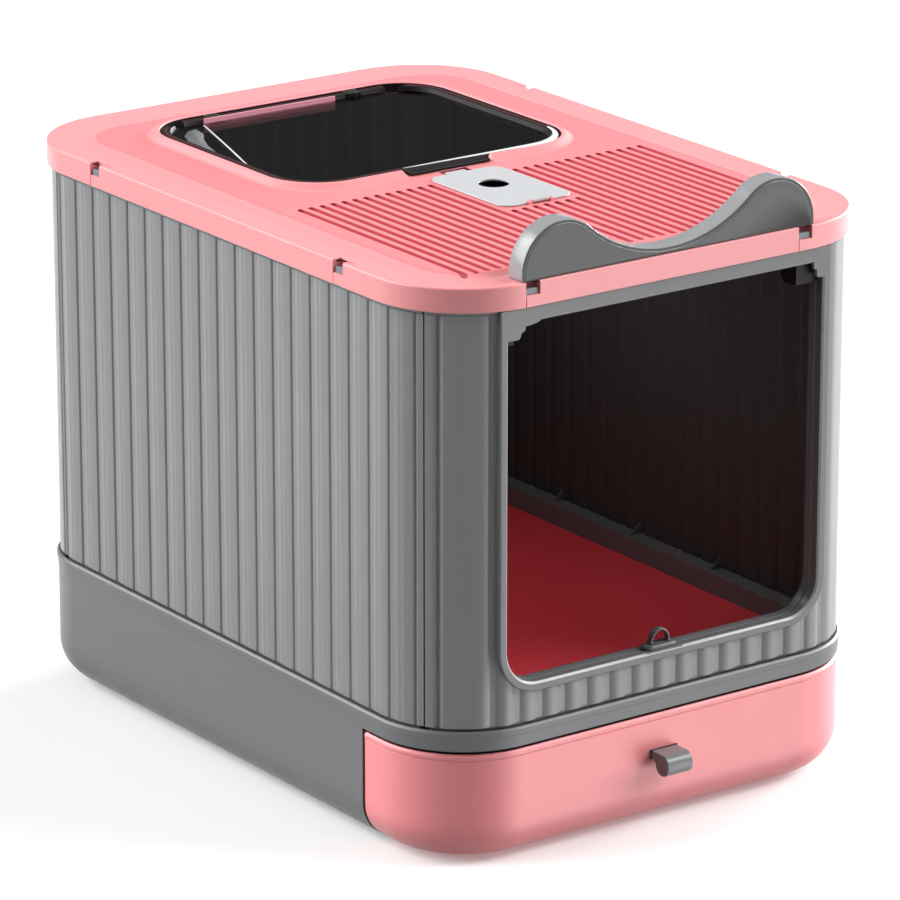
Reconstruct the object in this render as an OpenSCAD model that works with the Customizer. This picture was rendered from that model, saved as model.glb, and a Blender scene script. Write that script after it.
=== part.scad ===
// Drawer litter box with a front doorway, a top hatch and a pull-out drawer.
// Millimetres. +Z is up, the doorway faces -Y, and the origin lies on the floor under the centre
// of everything, the drawer's pull included. Lengths below are measured from the middle of the box.

/* [Overall size] */
// Width of the top cover, which is the widest piece
cover_w = 420; // [340:1:520]
// Depth of the top cover, front to back
cover_d = 585; // [480:1:720]
// Height of the cover's flat margin above the floor
cover_top = 449.5; // [370:0.5:560]
// Radius of the four upright corners of the cover, in plan
corner_r = 78; // [66:1:90]

/* [Top cover] */
// Height of the skirt round the cover
skirt_h = 19; // [16:0.5:30]
// Wall of the skirt
cover_wall = 2.5; // [2:0.1:3.5]
// Radius of the cover's upper edge
cover_fillet = 1.8; // [1:0.1:2.2]
// Thickness of the cover's flat margin
cover_plate = 3; // [2:0.1:4]
// Rise of the centre panel above the margin
panel_rise = 2.5; // [1:0.1:5]
// Margin beside the centre panel
panel_side = 33; // [20:1:44]
// Margin behind the centre panel
panel_back = 46; // [30:1:54]
// Margin in front of the centre panel, under the ear rail
panel_front = 30; // [27:1:44]
// Plan radius of the centre panel's corners
panel_r = 44; // [30:1:60]
// Width of each clip notch in the skirt
notch_w = 12.5; // [8:0.5:20]
// Drop of a clip notch below the margin
notch_drop = 10; // [6:0.5:14]
// Reach of a clip notch into the margin
notch_reach = 8; // [5:0.5:10]
// Width of the slits beside the flexing tab below a notch
slit_w = 0.6; // [0.4:0.1:1]
// Uncut strip of skirt under the slits
slit_foot = 3; // [2:0.5:5]
// Distance of the side notches from the middle of the box
notch_side = 166; // [120:1:180]
// Distance of the front notches from the middle of the box
notch_front = 126; // [90:1:130]

/* [Hatch] */
// Width of the hatch opening inside its rim
hatch_w = 268; // [200:1:280]
// Depth of the hatch opening inside its rim
hatch_d = 230; // [160:1:240]
// From the cover's back edge to the hatch opening
hatch_back = 70; // [64:1:90]
// Plan radius of the hatch opening's corners
hatch_r = 45; // [20:1:60]
// Width of the rim round the hatch
rim_w = 9; // [6:0.5:11]
// Rise of the rim above the centre panel
rim_rise = 4.5; // [3:0.5:8]
// Width of the ledge that carries the flap
ledge_w = 8; // [5:0.5:14]
// Depth of the ledge below the centre panel
ledge_drop = 3.5; // [3:0.5:6]
// Thickness of the clear flap
flap_t = 2.5; // [2:0.1:3]
// Gap between the flap and the rim
flap_gap = 1.2; // [0.8:0.1:2]
// Width of the border bead on the flap
bead_w = 8; // [5:0.5:12]
// Height of the border bead above the flap
bead_h = 3.5; // [2:0.1:4]
// Width of the finger tab at the front of the flap
tab_w = 88; // [50:1:110]
// Reach of the finger tab over the rim
tab_reach = 8; // [5:0.5:10]
// From the middle of the hatch to the inner end of each hinge clip
clip_x = 61; // [40:1:80]
// Width of each hinge clip
clip_w = 12; // [8:0.5:16]
// Diameter of the flap's hinge pins
flap_pin_d = 3; // [2.5:0.1:3.2]

/* [Vent grooves] */
// Distance between neighbouring grooves
groove_pitch = 10; // [8:0.5:14]
// Width of a groove
groove_w = 4.4; // [3:0.1:6]
// Depth of a groove
groove_depth = 3; // [1:0.1:3.5]
// Plain strip between the outer grooves and the centre panel's edge
groove_side = 17; // [10:1:40]
// Plain strip between the hatch rim and the grooves
groove_back = 25; // [20:1:40]
// Plain strip between the grooves and the front of the centre panel
groove_front = 4.5; // [3:0.5:20]

/* [Deodoriser] */
// Width of the grey cover plate
plate_w = 67; // [56:1:80]
// Length of the grey cover plate
plate_l = 101; // [90:1:104]
// Plan radius of the cover plate's corners
plate_r = 11; // [6:0.5:16]
// Thickness of the cover plate
plate_t = 2.4; // [1.8:0.1:3]
// From the hatch rim to the back of the cover plate
plate_back = 13; // [12:0.5:24]
// Diameter of the round vent in the plate
vent_d = 27; // [16:1:34]
// Offset of the round vent towards the back
vent_shift = 9; // [0:1:16]
// Diameter of the pin that the plate turns on
plate_pin_d = 1.8; // [1.5:0.1:2]
// Width of the cup under the plate
cup_w = 52; // [40:1:54]
// Length of the cup under the plate
cup_l = 84; // [60:1:86]
// Depth of the cup
cup_h = 27; // [18:1:40]
// Wall of the cup
cup_wall = 1.6; // [1.2:0.1:2.4]
// Thickness of the charcoal pack
pack_t = 16; // [8:1:22]

/* [Ear rail] */
// Thickness of the rail, front to back
rail_t = 18; // [17:0.5:20]
// Distance of the rail's front face behind the cover's front edge
rail_set = 1; // [0.5:0.5:3]
// Distance of each ear's centre from the middle
ear_x = 98; // [80:1:110]
// Radius of each ear
ear_r = 37; // [28:1:42]
// Height of the ear's centre above the margin
ear_z = 4.6; // [2:0.2:10]
// Height of the dip between the ears
dip_z = 5.5; // [5:0.5:12]
// Wall of the hollow rail
rail_wall = 2.5; // [2:0.1:3]
// Diameter of the rail's screws
rail_screw_d = 3.2; // [2.5:0.1:3.5]

/* [Wall panels] */
// Distance of the panels' ribs inside the cover's edge
wall_inset = 3.5; // [3.5:0.1:5]
// Thickness of the panels
wall_t = 2.5; // [1.8:0.1:3]
// Depth of the flutes
flute_d = 2.5; // [1:0.1:3]
// Width of a flute on the side and back panels
side_flute = 25; // [16:1:40]
// Width of a flute on the front panel
front_flute = 20.75; // [14:0.25:30]
// Angle by which the front panel wraps round each corner
front_wrap = 60; // [40:1:70]
// Angle by which the back panel wraps round each corner
back_wrap = 78; // [60:1:84]
// Gap between neighbouring panels
seam = 0.8; // [0.4:0.1:1.5]
// Height of the plain band seen above the flutes
head_band = 2; // [1:0.1:4]
// Shadow gap between the panels and the base rim
foot_gap = 2; // [1:0.1:4]

/* [Doorway] */
// Clear width of the doorway
door_w = 292; // [180:1:296]
// Height of the sill above the floor
door_sill = 140.5; // [135:0.5:180]
// From the cover's skirt down to the doorway's head
door_drop = 12; // [8:0.5:30]
// Radius of the doorway's lower corners
door_r = 28; // [12:1:50]
// Face width of the doorway's frame
frame_w = 7; // [5:0.5:7]
// How far the frame stands proud of the flutes
frame_proud = 1.5; // [0.8:0.1:2]
// Depth of the sill and the jambs
sill_depth = 17; // [15:0.5:20]
// Wall of the sill and the jambs
jamb_t = 2.5; // [2:0.1:3]

/* [Base] */
// Distance of the base rim inside the cover's edge
base_inset = 1; // [0.5:0.1:2]
// Wall of the base
base_wall = 3; // [2.5:0.1:4]
// Radius of the base's lower edge
base_fillet = 32; // [20:1:36]
// How far the rim's lip stands proud of the base's side
band_proud = 1.2; // [0.6:0.1:1.6]
// Height of the rim's lip
lip_h = 5.5; // [3:0.5:10]
// Height of the rim's upper edge
rim_top = 108.5; // [106:0.5:112]
// Height of the rim's lower edge above the drawer
band_bottom = 93; // [92:0.5:95]
// Height of the ledge inside the rim
ledge_top = 112; // [111.5:0.5:116]
// From the rim's outer face to the ledge's inner edge
ledge_in = 23; // [21:0.5:26]
// Thickness of the base's ribs and webs
web_t = 2.5; // [2:0.1:3]
// Distance between the gussets on the ledge
gusset_pitch = 105; // [70:5:140]
// Height of the gussets
gusset_h = 12; // [6:1:16]
// Thickness of the rubber feet
foot_t = 3; // [2:0.1:4]
// Diameter of the rubber feet
foot_d = 26; // [16:1:36]
// How far the feet reach below the base
foot_out = 1.5; // [1:0.1:2]

/* [Litter screen] */
// Height of the screen's upper face
screen_top = 95; // [94:0.5:98]
// Thickness of the screen
screen_t = 2.5; // [1.5:0.1:3]

/* [Drawer] */
// Height of the drawer's upper edge
drawer_top = 90.5; // [84:0.5:90.5]
// From the rim's front to the cut where the drawer front ends
drawer_front = 100; // [92:1:140]
// Gap round the drawer front
drawer_gap = 2.5; // [1.5:0.1:4]
// Wall of the drawer
drawer_wall = 2.5; // [2:0.1:3]
// Gap between the drawer's tray and the base's sides
tray_gap = 4; // [3:0.5:8]
// Height of the two runners under the tray
runner_h = 2; // [1:0.5:3]
// Distance of the runners from the middle
runner_x = 120; // [80:1:130]
// Depth of the cover that the drawer's travel leaves above the tray when its stops meet
drawer_kept = 235; // [210:5:300]

/* [Drawer pull] */
// Width of the pull
pull_w = 24; // [16:1:40]
// How far the pull stands out
pull_out = 21; // [16:1:28]
// Drop from the pull's top to the bottom of its lip
pull_drop = 17; // [17:1:28]
// Height of the pull's top above the floor
pull_z = 62; // [48:1:74]
// Thickness of the pull's round end
pull_lip = 16; // [12:0.5:16.5]
// Thickness of the pull where it leaves the drawer
pull_root = 6; // [5:0.5:8]
// Diameter of the pull's screws
pull_screw_d = 3; // [2.5:0.1:3.5]

/* [Door latch] */
// Length of the latch's oval foot
latch_l = 30; // [22:1:36]
// Width of the latch's oval foot
latch_w = 12; // [10:0.5:15]
// Thickness of the foot
latch_t = 3.5; // [2.5:0.1:5]
// Outer radius of the finger loop
loop_r = 8.5; // [8:0.1:10]
// Hole radius of the finger loop
loop_hole = 6.3; // [4:0.1:6.4]
// Width of the band that forms the finger loop
loop_w = 6; // [4:0.5:8]
// Height of the loop's centre above the foot
loop_rise = 2.6; // [2:0.2:6]
// Diameter of the latch's screw
latch_pin_d = 4; // [3:0.1:4.5]

/* [Hidden] */
$fn = 96;
e = 0.01;

grey = "#8b8d8f";
dark_grey = "#5e6062";
pink = "#f7a3a8";
light_grey = "#d6d9db";

// Top cover levels and places
skirt_bottom = cover_top - skirt_h;
plate_under = cover_top - cover_plate;
panel_top = cover_top + panel_rise;
rim_crest = panel_top + rim_rise;
hatch_y1 = cover_d / 2 - hatch_back;
hatch_y0 = hatch_y1 - hatch_d;
hatch_cy = (hatch_y0 + hatch_y1) / 2;
flap_ledge = panel_top - ledge_drop;
flap_z = flap_ledge + 1;
flap_axis_y = hatch_y1 - 5;
flap_axis_z = flap_z + 2.8;
barrel_r = flap_pin_d / 2 + 1.3;
barrel_w = 11;
flap_relief = 9;
pin_gap = 0.05;
tab_z = panel_top + 0.5;

plate_y1 = hatch_y0 - rim_w - plate_back;
plate_y0 = plate_y1 - plate_l;
plate_cy = (plate_y0 + plate_y1) / 2;
plate_z = panel_top + 0.2;
plate_axis_z = panel_top + 2.2;
plate_barrel_r = 2;
plate_ear_x = 8.6;
plate_ear_w = 2.4;
cup_flange = 4;
cup_flange_t = 1.4;
cup_top = panel_top - 0.1;

rail_y0 = -cover_d / 2 + rail_set;
rail_y1 = rail_y0 + rail_t;
rail_screw_y = rail_y1 - 5;
rail_screw_x = [ear_x - 14, ear_x + 14];

// Panel outline: half sizes and radius at the flutes' crests, and stations along it
wall_a = cover_w / 2 - wall_inset;
wall_b = cover_d / 2 - wall_inset;
wall_r = corner_r - wall_inset;
s1 = wall_a - wall_r;
s2 = s1 + wall_r * PI / 2;
s3 = s2 + 2 * (wall_b - wall_r);
s4 = s3 + wall_r * PI / 2;
s5 = s4 + wall_a - wall_r;
front_seam = s1 + wall_r * PI * front_wrap / 180;
back_seam = s3 + wall_r * PI * (90 - back_wrap) / 180;
wall_bottom = rim_top + foot_gap;
wall_top = plate_under;
flute_steps = 14;

// Base levels
base_a = cover_w / 2 - base_inset;
base_b = cover_d / 2 - base_inset;
base_r = corner_r - base_inset;
web_z = 98;
rim_in = band_proud + 2.2;
groove_in = 8.5;
tongue_out = 4;
tongue_t = 2.5;
cut_y = -base_b + drawer_front;
screen_flange = 7;
runner_z = foot_out + base_wall;
base_side = base_a - band_proud - base_wall;
tray_side = base_side - tray_gap;
stop_y = cut_y + 9;
drawer_travel = cover_d - drawer_kept;

// Doorway
door_head = skirt_bottom - door_drop;
frame_y = -wall_b - frame_proud;
latch_y = frame_y + sill_depth / 2;

// ---- plain shapes ----

// Moves a piece from the middle of the box to the middle of the whole, which the pull lengthens
module placed() {
    translate([0, (base_b - band_proud + pull_out - cover_d / 2) / 2, 0]) children();
}

// Rounded rectangle in plan, centred
module round_rect(a, b, r) {
    square([2 * a, 2 * (b - r)], center = true);
    square([2 * (a - r), 2 * b], center = true);
    for (x = [-1, 1], y = [-1, 1]) translate([x * (a - r), y * (b - r)]) circle(r);
}

// Upright block with rounded corners in plan, from z0 to z1
module upright(a, b, r, z0, z1) {
    translate([0, 0, z0]) linear_extrude(z1 - z0) round_rect(a, b, r);
}

// Ring between two insets of the base outline, from z0 to z1
module base_ring(out, in, z0, z1) {
    difference() {
        upright(base_a - out, base_b - out, base_r - out, z0, z1);
        upright(base_a - in, base_b - in, base_r - in, z0 - 1, z1 + 1);
    }
}

// Half of a tray's cross-section: flat floor, rounded lower edge of radius f, height h
module tray_section(a, h, f) {
    square([a - f, h]);
    translate([0, f]) square([a, h - f]);
    intersection() {
        translate([a - f, f]) circle(f);
        square([a, h]);
    }
}

// Solid tray form: rounded corners in plan of radius r, and a rounded lower edge of radius f
module tray_form(a, b, r, h, f) {
    for (m = [0, 1]) mirror([m, 0, 0]) rotate([90, 0, 0])
        linear_extrude(2 * (b - r), center = true) tray_section(a, h, f);
    for (m = [0, 1]) mirror([0, m, 0]) rotate([90, 0, 90])
        linear_extrude(2 * (a - r), center = true) tray_section(b, h, f);
    for (q = [0:3]) {
        sx = (q == 0 || q == 3) ? 1 : -1;
        sy = q < 2 ? 1 : -1;
        translate([sx * (a - r), sy * (b - r), 0]) rotate(90 * q)
            rotate_extrude(angle = 90) tray_section(r, h, min(f, r - 1));
    }
}

// ---- panel outline ----

// Point and outward normal at station s along the left half, from the front centre to the back centre
function left_station(s) =
    s < s1 ? [-s, -wall_b, 0, -1] :
    s < s2 ? arc_station(-s1, -(wall_b - wall_r), 270 - (s - s1) / wall_r * 180 / PI) :
    s < s3 ? [-wall_a, -(wall_b - wall_r) + s - s2, -1, 0] :
    s < s4 ? arc_station(-s1, wall_b - wall_r, 180 - (s - s3) / wall_r * 180 / PI) :
             [-s1 + s - s4, wall_b, 0, 1];
function arc_station(x, y, a) = [x + wall_r * cos(a), y + wall_r * sin(a), cos(a), sin(a)];

// The same on the whole outline: negative stations, and those past the back centre, are mirrored
function station(s) =
    s < 0 ? flip(left_station(-s)) : s > s5 ? flip(left_station(2 * s5 - s)) : left_station(s);
function flip(p) = [-p[0], p[1], -p[2], p[3]];
function inset_point(s, d) = let (p = station(s)) [p[0] - d * p[2], p[1] - d * p[3]];

// Depth of a flute at phase t: a deep groove between flutes and a slight crease along the middle
function flute_depth(t, crease) =
    flute_d * pow(abs(cos(180 * t)), 10) + crease * flute_d * pow(abs(sin(180 * t)), 30);

// Stations between a and b in step with the flutes, closer together near the deep grooves
function flute_station(k, pitch, at) = at + pitch * (k / flute_steps - 0.11 * sin(360 * k / flute_steps));
function flute_stations(a, b, pitch, at) =
    let (k0 = floor((a - at) / pitch - 1) * flute_steps, k1 = ceil((b - at) / pitch + 1) * flute_steps)
    concat([a],
           [for (k = [k0:k1]) let (s = flute_station(k, pitch, at)) if (s > a + 0.2 && s < b - 0.2) s],
           [b]);

// Strip of panel between stations a and b, with grooves at station at and every pitch from it
module fluted_strip(a, b, pitch, at, crease) {
    list = flute_stations(a, b, pitch, at);
    n = len(list) - 1;
    polygon(concat([for (s = list) inset_point(s, flute_depth((s - at) / pitch, crease))],
                   [for (i = [n:-1:0]) let (s = list[i])
                    inset_point(s, wall_t + flute_depth((s - at) / pitch, crease))]));
}

// Plain strip between stations a and b, between insets d0 and d1
module plain_strip(a, b, d0, d1) {
    n = ceil((b - a) / 6);
    polygon(concat([for (i = [0:n]) inset_point(a + (b - a) * i / n, d0)],
                   [for (i = [n:-1:0]) inset_point(a + (b - a) * i / n, d1)]));
}

// Panel with a plain band at its head, and a tongue that stands on the web in the base rim's groove
module panel(a, b, pitch, at, crease) {
    tongue = tongue_out - wall_inset + base_inset;
    translate([0, 0, wall_bottom]) linear_extrude(wall_top - wall_bottom)
        fluted_strip(a, b, pitch, at, crease);
    translate([0, 0, web_z + web_t]) linear_extrude(wall_bottom - web_z - web_t + 8)
        plain_strip(a + 3, b - 3, tongue, tongue + tongue_t);
    translate([0, 0, skirt_bottom - head_band]) linear_extrude(head_band + 4)
        plain_strip(a, b, -0.5, wall_t);
}

// Places of the clip notches, four on the sides and two in front: [x, y, turn],
// turned so that +X points outwards
function notch_places() = concat(
    [for (x = [-1, 1], y = [-1, 1]) [x * cover_w / 2, y * notch_side, x > 0 ? 0 : 180]],
    [for (x = [-1, 1]) [x * notch_front, -cover_d / 2, -90]]);

// Room above each clip hook, cut from the panels' upper edge
module hook_room() {
    for (p = notch_places()) translate([p[0], p[1], 0]) rotate(p[2])
        translate([-16, -notch_w / 2 - 1, cover_top - notch_drop + 3.5]) cube([20, notch_w + 2, 40]);
}

// ---- base ----

module base_shell() {
    color(grey) placed() {
        difference() {
            union() {
                difference() {
                    union() {
                        translate([0, 0, foot_out])
                            tray_form(base_a - band_proud, base_b - band_proud, base_r - band_proud,
                                      rim_top - lip_h + 1 - foot_out, base_fillet);
                        upright(base_a, base_b, base_r, rim_top - lip_h, rim_top);
                    }
                    translate([0, 0, foot_out + base_wall])
                        tray_form(base_a - band_proud - base_wall, base_b - band_proud - base_wall,
                                  base_r - band_proud - base_wall, cover_top, base_fillet - base_wall);
                    upright(base_a - rim_in, base_b - rim_in, base_r - rim_in, web_z + 1, cover_top);
                    translate([-cover_w, -cover_d, -1])
                        cube([2 * cover_w, cover_d + cut_y, band_bottom + 1]);
                }
                base_ring((band_proud + rim_in) / 2, ledge_in, web_z, web_z + web_t);
                base_ring(ledge_in - web_t, ledge_in, screen_seat() - web_t, ledge_top);
                base_ring(groove_in, groove_in + web_t, web_z, ledge_top);
                base_ring(groove_in, ledge_in, ledge_top - web_t, ledge_top);
                base_ring(ledge_in - web_t, ledge_in + screen_flange, screen_seat() - web_t, screen_seat());
                for (x = [-1, 1]) translate([x * runner_x - 4, cut_y + 20, runner_z - e])
                    cube([8, base_b - cut_y - 100, runner_h]);
                for (x = [-1, 1]) translate([x * (base_side - 1) - 2, stop_y - 6, 58]) cube([4, 6, 24]);
                gussets();
            }
            foot_places() cylinder(d = foot_d + 0.4, h = foot_t);
        }
    }
}

// Height of the face that carries the litter screen
function screen_seat() = screen_top - screen_t;

// Triangular ribs that stand on the ledge, two to the left and right of each panel's middle and one at it
module gussets() {
    depth = ledge_in - groove_in - 2;
    n = floor((base_b - base_r) / gusset_pitch);
    for (m = [0, 1], i = [-n:n]) mirror([m, 0, 0])
        translate([base_a - ledge_in, i * gusset_pitch + 0.75, ledge_top - e]) rotate([90, 0, 0])
            linear_extrude(1.5) polygon([[0, 0], [depth, 0], [depth, gusset_h], [depth - 1.5, gusset_h]]);
}

// The four places of the feet
module foot_places() {
    for (x = [-1, 1], y = [cut_y + 28, base_b - 60])
        translate([x * (base_a - base_fillet - foot_d / 2 - 8), y, 0]) children();
}

module foot_pads() {
    color("#2a2b2c") placed() foot_places() cylinder(d = foot_d, h = foot_t);
}

module litter_screen() {
    gap = 0.6;
    color("#8c1e26") placed() upright(base_a - ledge_in - gap, base_b - ledge_in - gap, base_r - ledge_in - gap,
                             screen_seat(), screen_top);
}

// ---- wall panels ----

module left_wall() {
    color(grey) placed() difference() {
        panel(front_seam + seam, back_seam, side_flute, front_seam + 5, 0.3);
        hook_room();
    }
}

module right_wall() {
    color(grey) placed() difference() {
        mirror([1, 0, 0]) panel(front_seam + seam, back_seam, side_flute, front_seam + 5, 0.3);
        hook_room();
    }
}

module back_panel() {
    a = back_seam + seam;
    flutes = round(2 * (s5 - a) / side_flute);
    pitch = 2 * (s5 - a) / flutes;
    color(grey) placed() difference() {
        panel(a, 2 * s5 - a, pitch, a, 0.3);
        hook_room();
    }
}

// Doorway outline in the upright plane, grown by g
module door_outline(g) {
    a = door_w / 2 + g;
    r = door_r + g;
    translate([-a, door_sill - g + r]) square([2 * a, door_head + g - (door_sill - g + r)]);
    translate([-a + r, door_sill - g]) square([2 * (a - r), r + 1]);
    for (x = [-1, 1]) translate([x * (a - r), door_sill - g + r]) circle(r);
}

// Extrusion of an upright outline, from y0 to y1
module upright_slab(y0, y1) {
    translate([0, y1, 0]) rotate([90, 0, 0]) linear_extrude(y1 - y0) children();
}

// Stepped bracket that covers a hinge socket in the doorway's upper corner
module bracket_outline() {
    a = door_w / 2;
    h = door_head;
    translate([a - 12, h - 9]) square([13, 10]);
    translate([a - 8.5, h - 14.5]) square([9.5, 15.5]);
    difference() {
        translate([a - 24, h - 2]) square([13, 3]);
        translate([a - 24, h - 7]) circle(7);
    }
}

module front_panel() {
    color(grey) placed() difference() {
        union() {
            difference() {
                panel(-front_seam, front_seam, front_flute, front_flute / 2, 0);
                upright_slab(-cover_d, 0) door_outline(0);
            }
            upright_slab(frame_y, frame_y + 4) difference() {
                door_outline(frame_w);
                door_outline(0);
            }
            upright_slab(frame_y, frame_y + sill_depth) difference() {
                door_outline(jamb_t);
                door_outline(0);
            }
            translate([-door_w / 2 - frame_w, frame_y, door_head + frame_w - 3])
                cube([door_w + 2 * frame_w, 4, skirt_bottom - 0.4 - door_head - frame_w + 3]);
            for (m = [0, 1]) mirror([m, 0, 0]) upright_slab(frame_y, frame_y + 3) bracket_outline();
        }
        hook_room();
        translate([0, latch_y, door_sill - 10]) cylinder(d = latch_pin_d + 0.3, h = 20);
        for (m = [0, 1]) mirror([m, 0, 0]) translate([0, socket_y(), socket_peg_z()]) rotate([0, 90, 0])
            cylinder(d = 4.2, h = door_w / 2 + 10);
    }
}

// ---- hinge sockets for the doorway's flap ----

function socket_y() = frame_y + 9;
function socket_peg_z() = door_head - 5;

// Right-hand socket: block on the jamb, bored for the flap's pivot, with a peg into the jamb
module door_hinge() {
    a = door_w / 2;
    difference() {
        union() {
            translate([a - 16, frame_y + 3, door_head - 17.5]) cube([15.7, 18, 17]);
            translate([a - 16, frame_y + 19, door_head - 11.5]) rotate([0, 90, 0])
                cylinder(d = 13, h = 15.7);
            translate([a - 1, socket_y(), socket_peg_z()]) rotate([0, 90, 0])
                cylinder(d = 4, h = jamb_t + 1);
        }
        translate([a - 17, frame_y + 19, door_head - 11.5]) rotate([0, 90, 0]) cylinder(d = 5.2, h = 12);
        translate([a - 17, frame_y + 6, door_head - 20]) cube([10, 8, 9]);
    }
}

module door_hinge_right() {
    color(dark_grey) placed() door_hinge();
}

module door_hinge_left() {
    color(dark_grey) placed() mirror([1, 0, 0]) door_hinge();
}

// ---- top cover ----

module top_cover() {
    color(pink) placed() {
        difference() {
            union() {
                translate([0, 0, cover_top]) mirror([0, 0, 1])
                    tray_form(cover_w / 2, cover_d / 2, corner_r, skirt_h, cover_fillet);
                centre_panel();
                translate([0, hatch_cy, 0]) upright(hatch_w / 2 + rim_w, hatch_d / 2 + rim_w,
                                                    hatch_r + rim_w, cover_top, rim_crest);
            }
            upright(cover_w / 2 - cover_wall, cover_d / 2 - cover_wall, corner_r - cover_wall,
                    skirt_bottom - 1, plate_under);
            hatch_cut();
            vent_grooves();
            cup_cut();
            clip_notches();
            for (x = rail_screw_x, m = [-1, 1])
                translate([m * x, rail_screw_y, plate_under - 1]) cylinder(d = rail_screw_d + 0.4, h = 20);
        }
        hatch_well();
        plate_ears();
    }
}

module centre_panel() {
    y0 = -cover_d / 2 + panel_front;
    y1 = cover_d / 2 - panel_back;
    translate([0, (y0 + y1) / 2, 0])
        upright(cover_w / 2 - panel_side, (y1 - y0) / 2, panel_r, cover_top - e, panel_top);
}

// Hatch opening, and the dip in the rim for the flap's finger tab
module hatch_cut() {
    translate([0, hatch_cy, 0]) {
        upright(hatch_w / 2, hatch_d / 2, hatch_r, plate_under - 1, rim_crest + 1);
    }
    translate([-tab_w / 2 - 2, hatch_y0 - rim_w - 1, tab_z - 0.4]) cube([tab_w + 4, rim_w + 2, 20]);
}

// Wall under the rim, with the ledge that carries the flap
module hatch_well() {
    translate([0, hatch_cy, 0]) {
        difference() {
            upright(hatch_w / 2 + web_t, hatch_d / 2 + web_t, hatch_r + web_t,
                    flap_ledge - web_t, panel_top);
            upright(hatch_w / 2, hatch_d / 2, hatch_r, flap_ledge - 10, panel_top + 1);
        }
        difference() {
            upright(hatch_w / 2 + e, hatch_d / 2 + e, hatch_r + e, flap_ledge - web_t, flap_ledge);
            upright(hatch_w / 2 - ledge_w, hatch_d / 2 - ledge_w, hatch_r - ledge_w,
                    flap_ledge - 10, flap_ledge + 1);
        }
    }
}

// Grooves in the front half of the centre panel; those behind the cover plate start at its front edge
module vent_grooves() {
    half = cover_w / 2 - panel_side - groove_side;
    n = floor(half / groove_pitch);
    y0 = -cover_d / 2 + panel_front + groove_front;
    for (i = [-n:n]) {
        x = i * groove_pitch;
        y1 = abs(x) < plate_w / 2 + groove_w / 2 ? plate_y0 - 5 : hatch_y0 - rim_w - groove_back;
        translate([x - groove_w / 2, y0 + groove_w / 2, panel_top - groove_depth])
            cube([groove_w, y1 - y0 - groove_w, 10]);
        for (y = [y0 + groove_w / 2, y1 - groove_w / 2])
            translate([x, y, panel_top - groove_depth]) cylinder(d = groove_w, h = 10);
    }
}

// Mouth of the deodoriser cup, the seat of its flange, and the slot behind the cover plate
module cup_cut() {
    translate([0, plate_cy, 0]) {
        upright(cup_w / 2 + 0.4, cup_l / 2 + 0.4, 8.4, plate_under - 1, panel_top + 1);
        upright(cup_w / 2 + cup_flange + 0.4, cup_l / 2 + cup_flange + 0.4, 10,
                cup_top - cup_flange_t, panel_top + 1);
    }
    translate([-13, plate_y1 + 0.6, plate_under - 1]) cube([26, 6.4, 20]);
}

// Notches for the panels' clip hooks, each above a tab that two slits set free
module clip_notches() {
    for (p = notch_places()) translate([p[0], p[1], 0]) rotate(p[2]) {
        translate([-notch_reach, -notch_w / 2, cover_top - notch_drop])
            cube([notch_reach + 5, notch_w, 40]);
        for (s = [-1, 1]) translate([-cover_wall - 1, s * (notch_w - slit_w) / 2, skirt_bottom + slit_foot])
            translate([0, -slit_w / 2, 0]) cube([10, slit_w, skirt_h - notch_drop]);
    }
}

// Two ears that hold the pin of the deodoriser plate
module plate_ears() {
    for (x = [-1, 1]) translate([x * (plate_ear_x + plate_ear_w / 2), plate_y0, 0]) difference() {
        union() {
            translate([0, 0, plate_axis_z]) rotate([0, 90, 0])
                cylinder(r = plate_barrel_r, h = plate_ear_w, center = true);
            translate([-plate_ear_w / 2, -plate_barrel_r, panel_top - groove_depth])
                cube([plate_ear_w, 2 * plate_barrel_r, groove_depth + plate_axis_z - panel_top]);
        }
        translate([0, 0, plate_axis_z]) rotate([0, 90, 0])
            cylinder(d = plate_pin_d, h = plate_ear_w + 2, center = true);
    }
}

// ---- hatch flap ----

module hatch_flap() {
    a = hatch_w / 2 - flap_gap;
    b = hatch_d / 2 - flap_gap;
    r = hatch_r - flap_gap;
    color("#dfe6ea", 0.4) placed() difference() {
        union() {
            intersection() {
                translate([0, hatch_cy, 0]) {
                    upright(a, b, r, flap_z, flap_z + flap_t);
                    difference() {
                        upright(a, b, r, flap_z, flap_z + flap_t + bead_h);
                        upright(a - bead_w, b - bead_w, r - bead_w, flap_z - 1, flap_z + 20);
                    }
                }
                translate([-cover_w, -cover_d, 0]) cube([2 * cover_w, cover_d + flap_axis_y, 1000]);
            }
            finger_tab();
            for (x = [-1, 1]) translate([x * (clip_x - 1 - barrel_w / 2), flap_axis_y, flap_axis_z])
                rotate([0, 90, 0]) cylinder(r = barrel_r, h = barrel_w, center = true);
        }
        for (x = [-1, 1]) translate([x * (clip_x - barrel_w / 2), flap_axis_y, flap_axis_z])
            rotate([0, 90, 0]) cylinder(d = flap_pin_d + 2 * pin_gap, h = barrel_w + 8, center = true);
        for (x = [-1, 1]) translate([x * (clip_x + clip_w / 2), flap_axis_y - 7, flap_z - 1])
            translate([-clip_w / 2 - 1, 0, 0]) cube([clip_w + 2, 20, 20]);
        corner_relief();
    }
}

// Room at the flap's back corners, so that they swing clear of the rim's rounded corners
module corner_relief() {
    for (m = [0, 1]) mirror([m, 0, 0])
        translate([hatch_w / 2 - hatch_r + flap_relief - 1, flap_axis_y - flap_relief, flap_z - 1])
            cube([hatch_r, flap_relief + 10, 20]);
}

// Tab at the front of the flap that lies over the dip in the rim
module finger_tab() {
    y0 = hatch_y0 - tab_reach;
    y1 = hatch_y0 + flap_gap + bead_w;
    translate([-tab_w / 2, y0, tab_z]) cube([tab_w, y1 - y0, flap_z + flap_t + bead_h - tab_z]);
}

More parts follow.
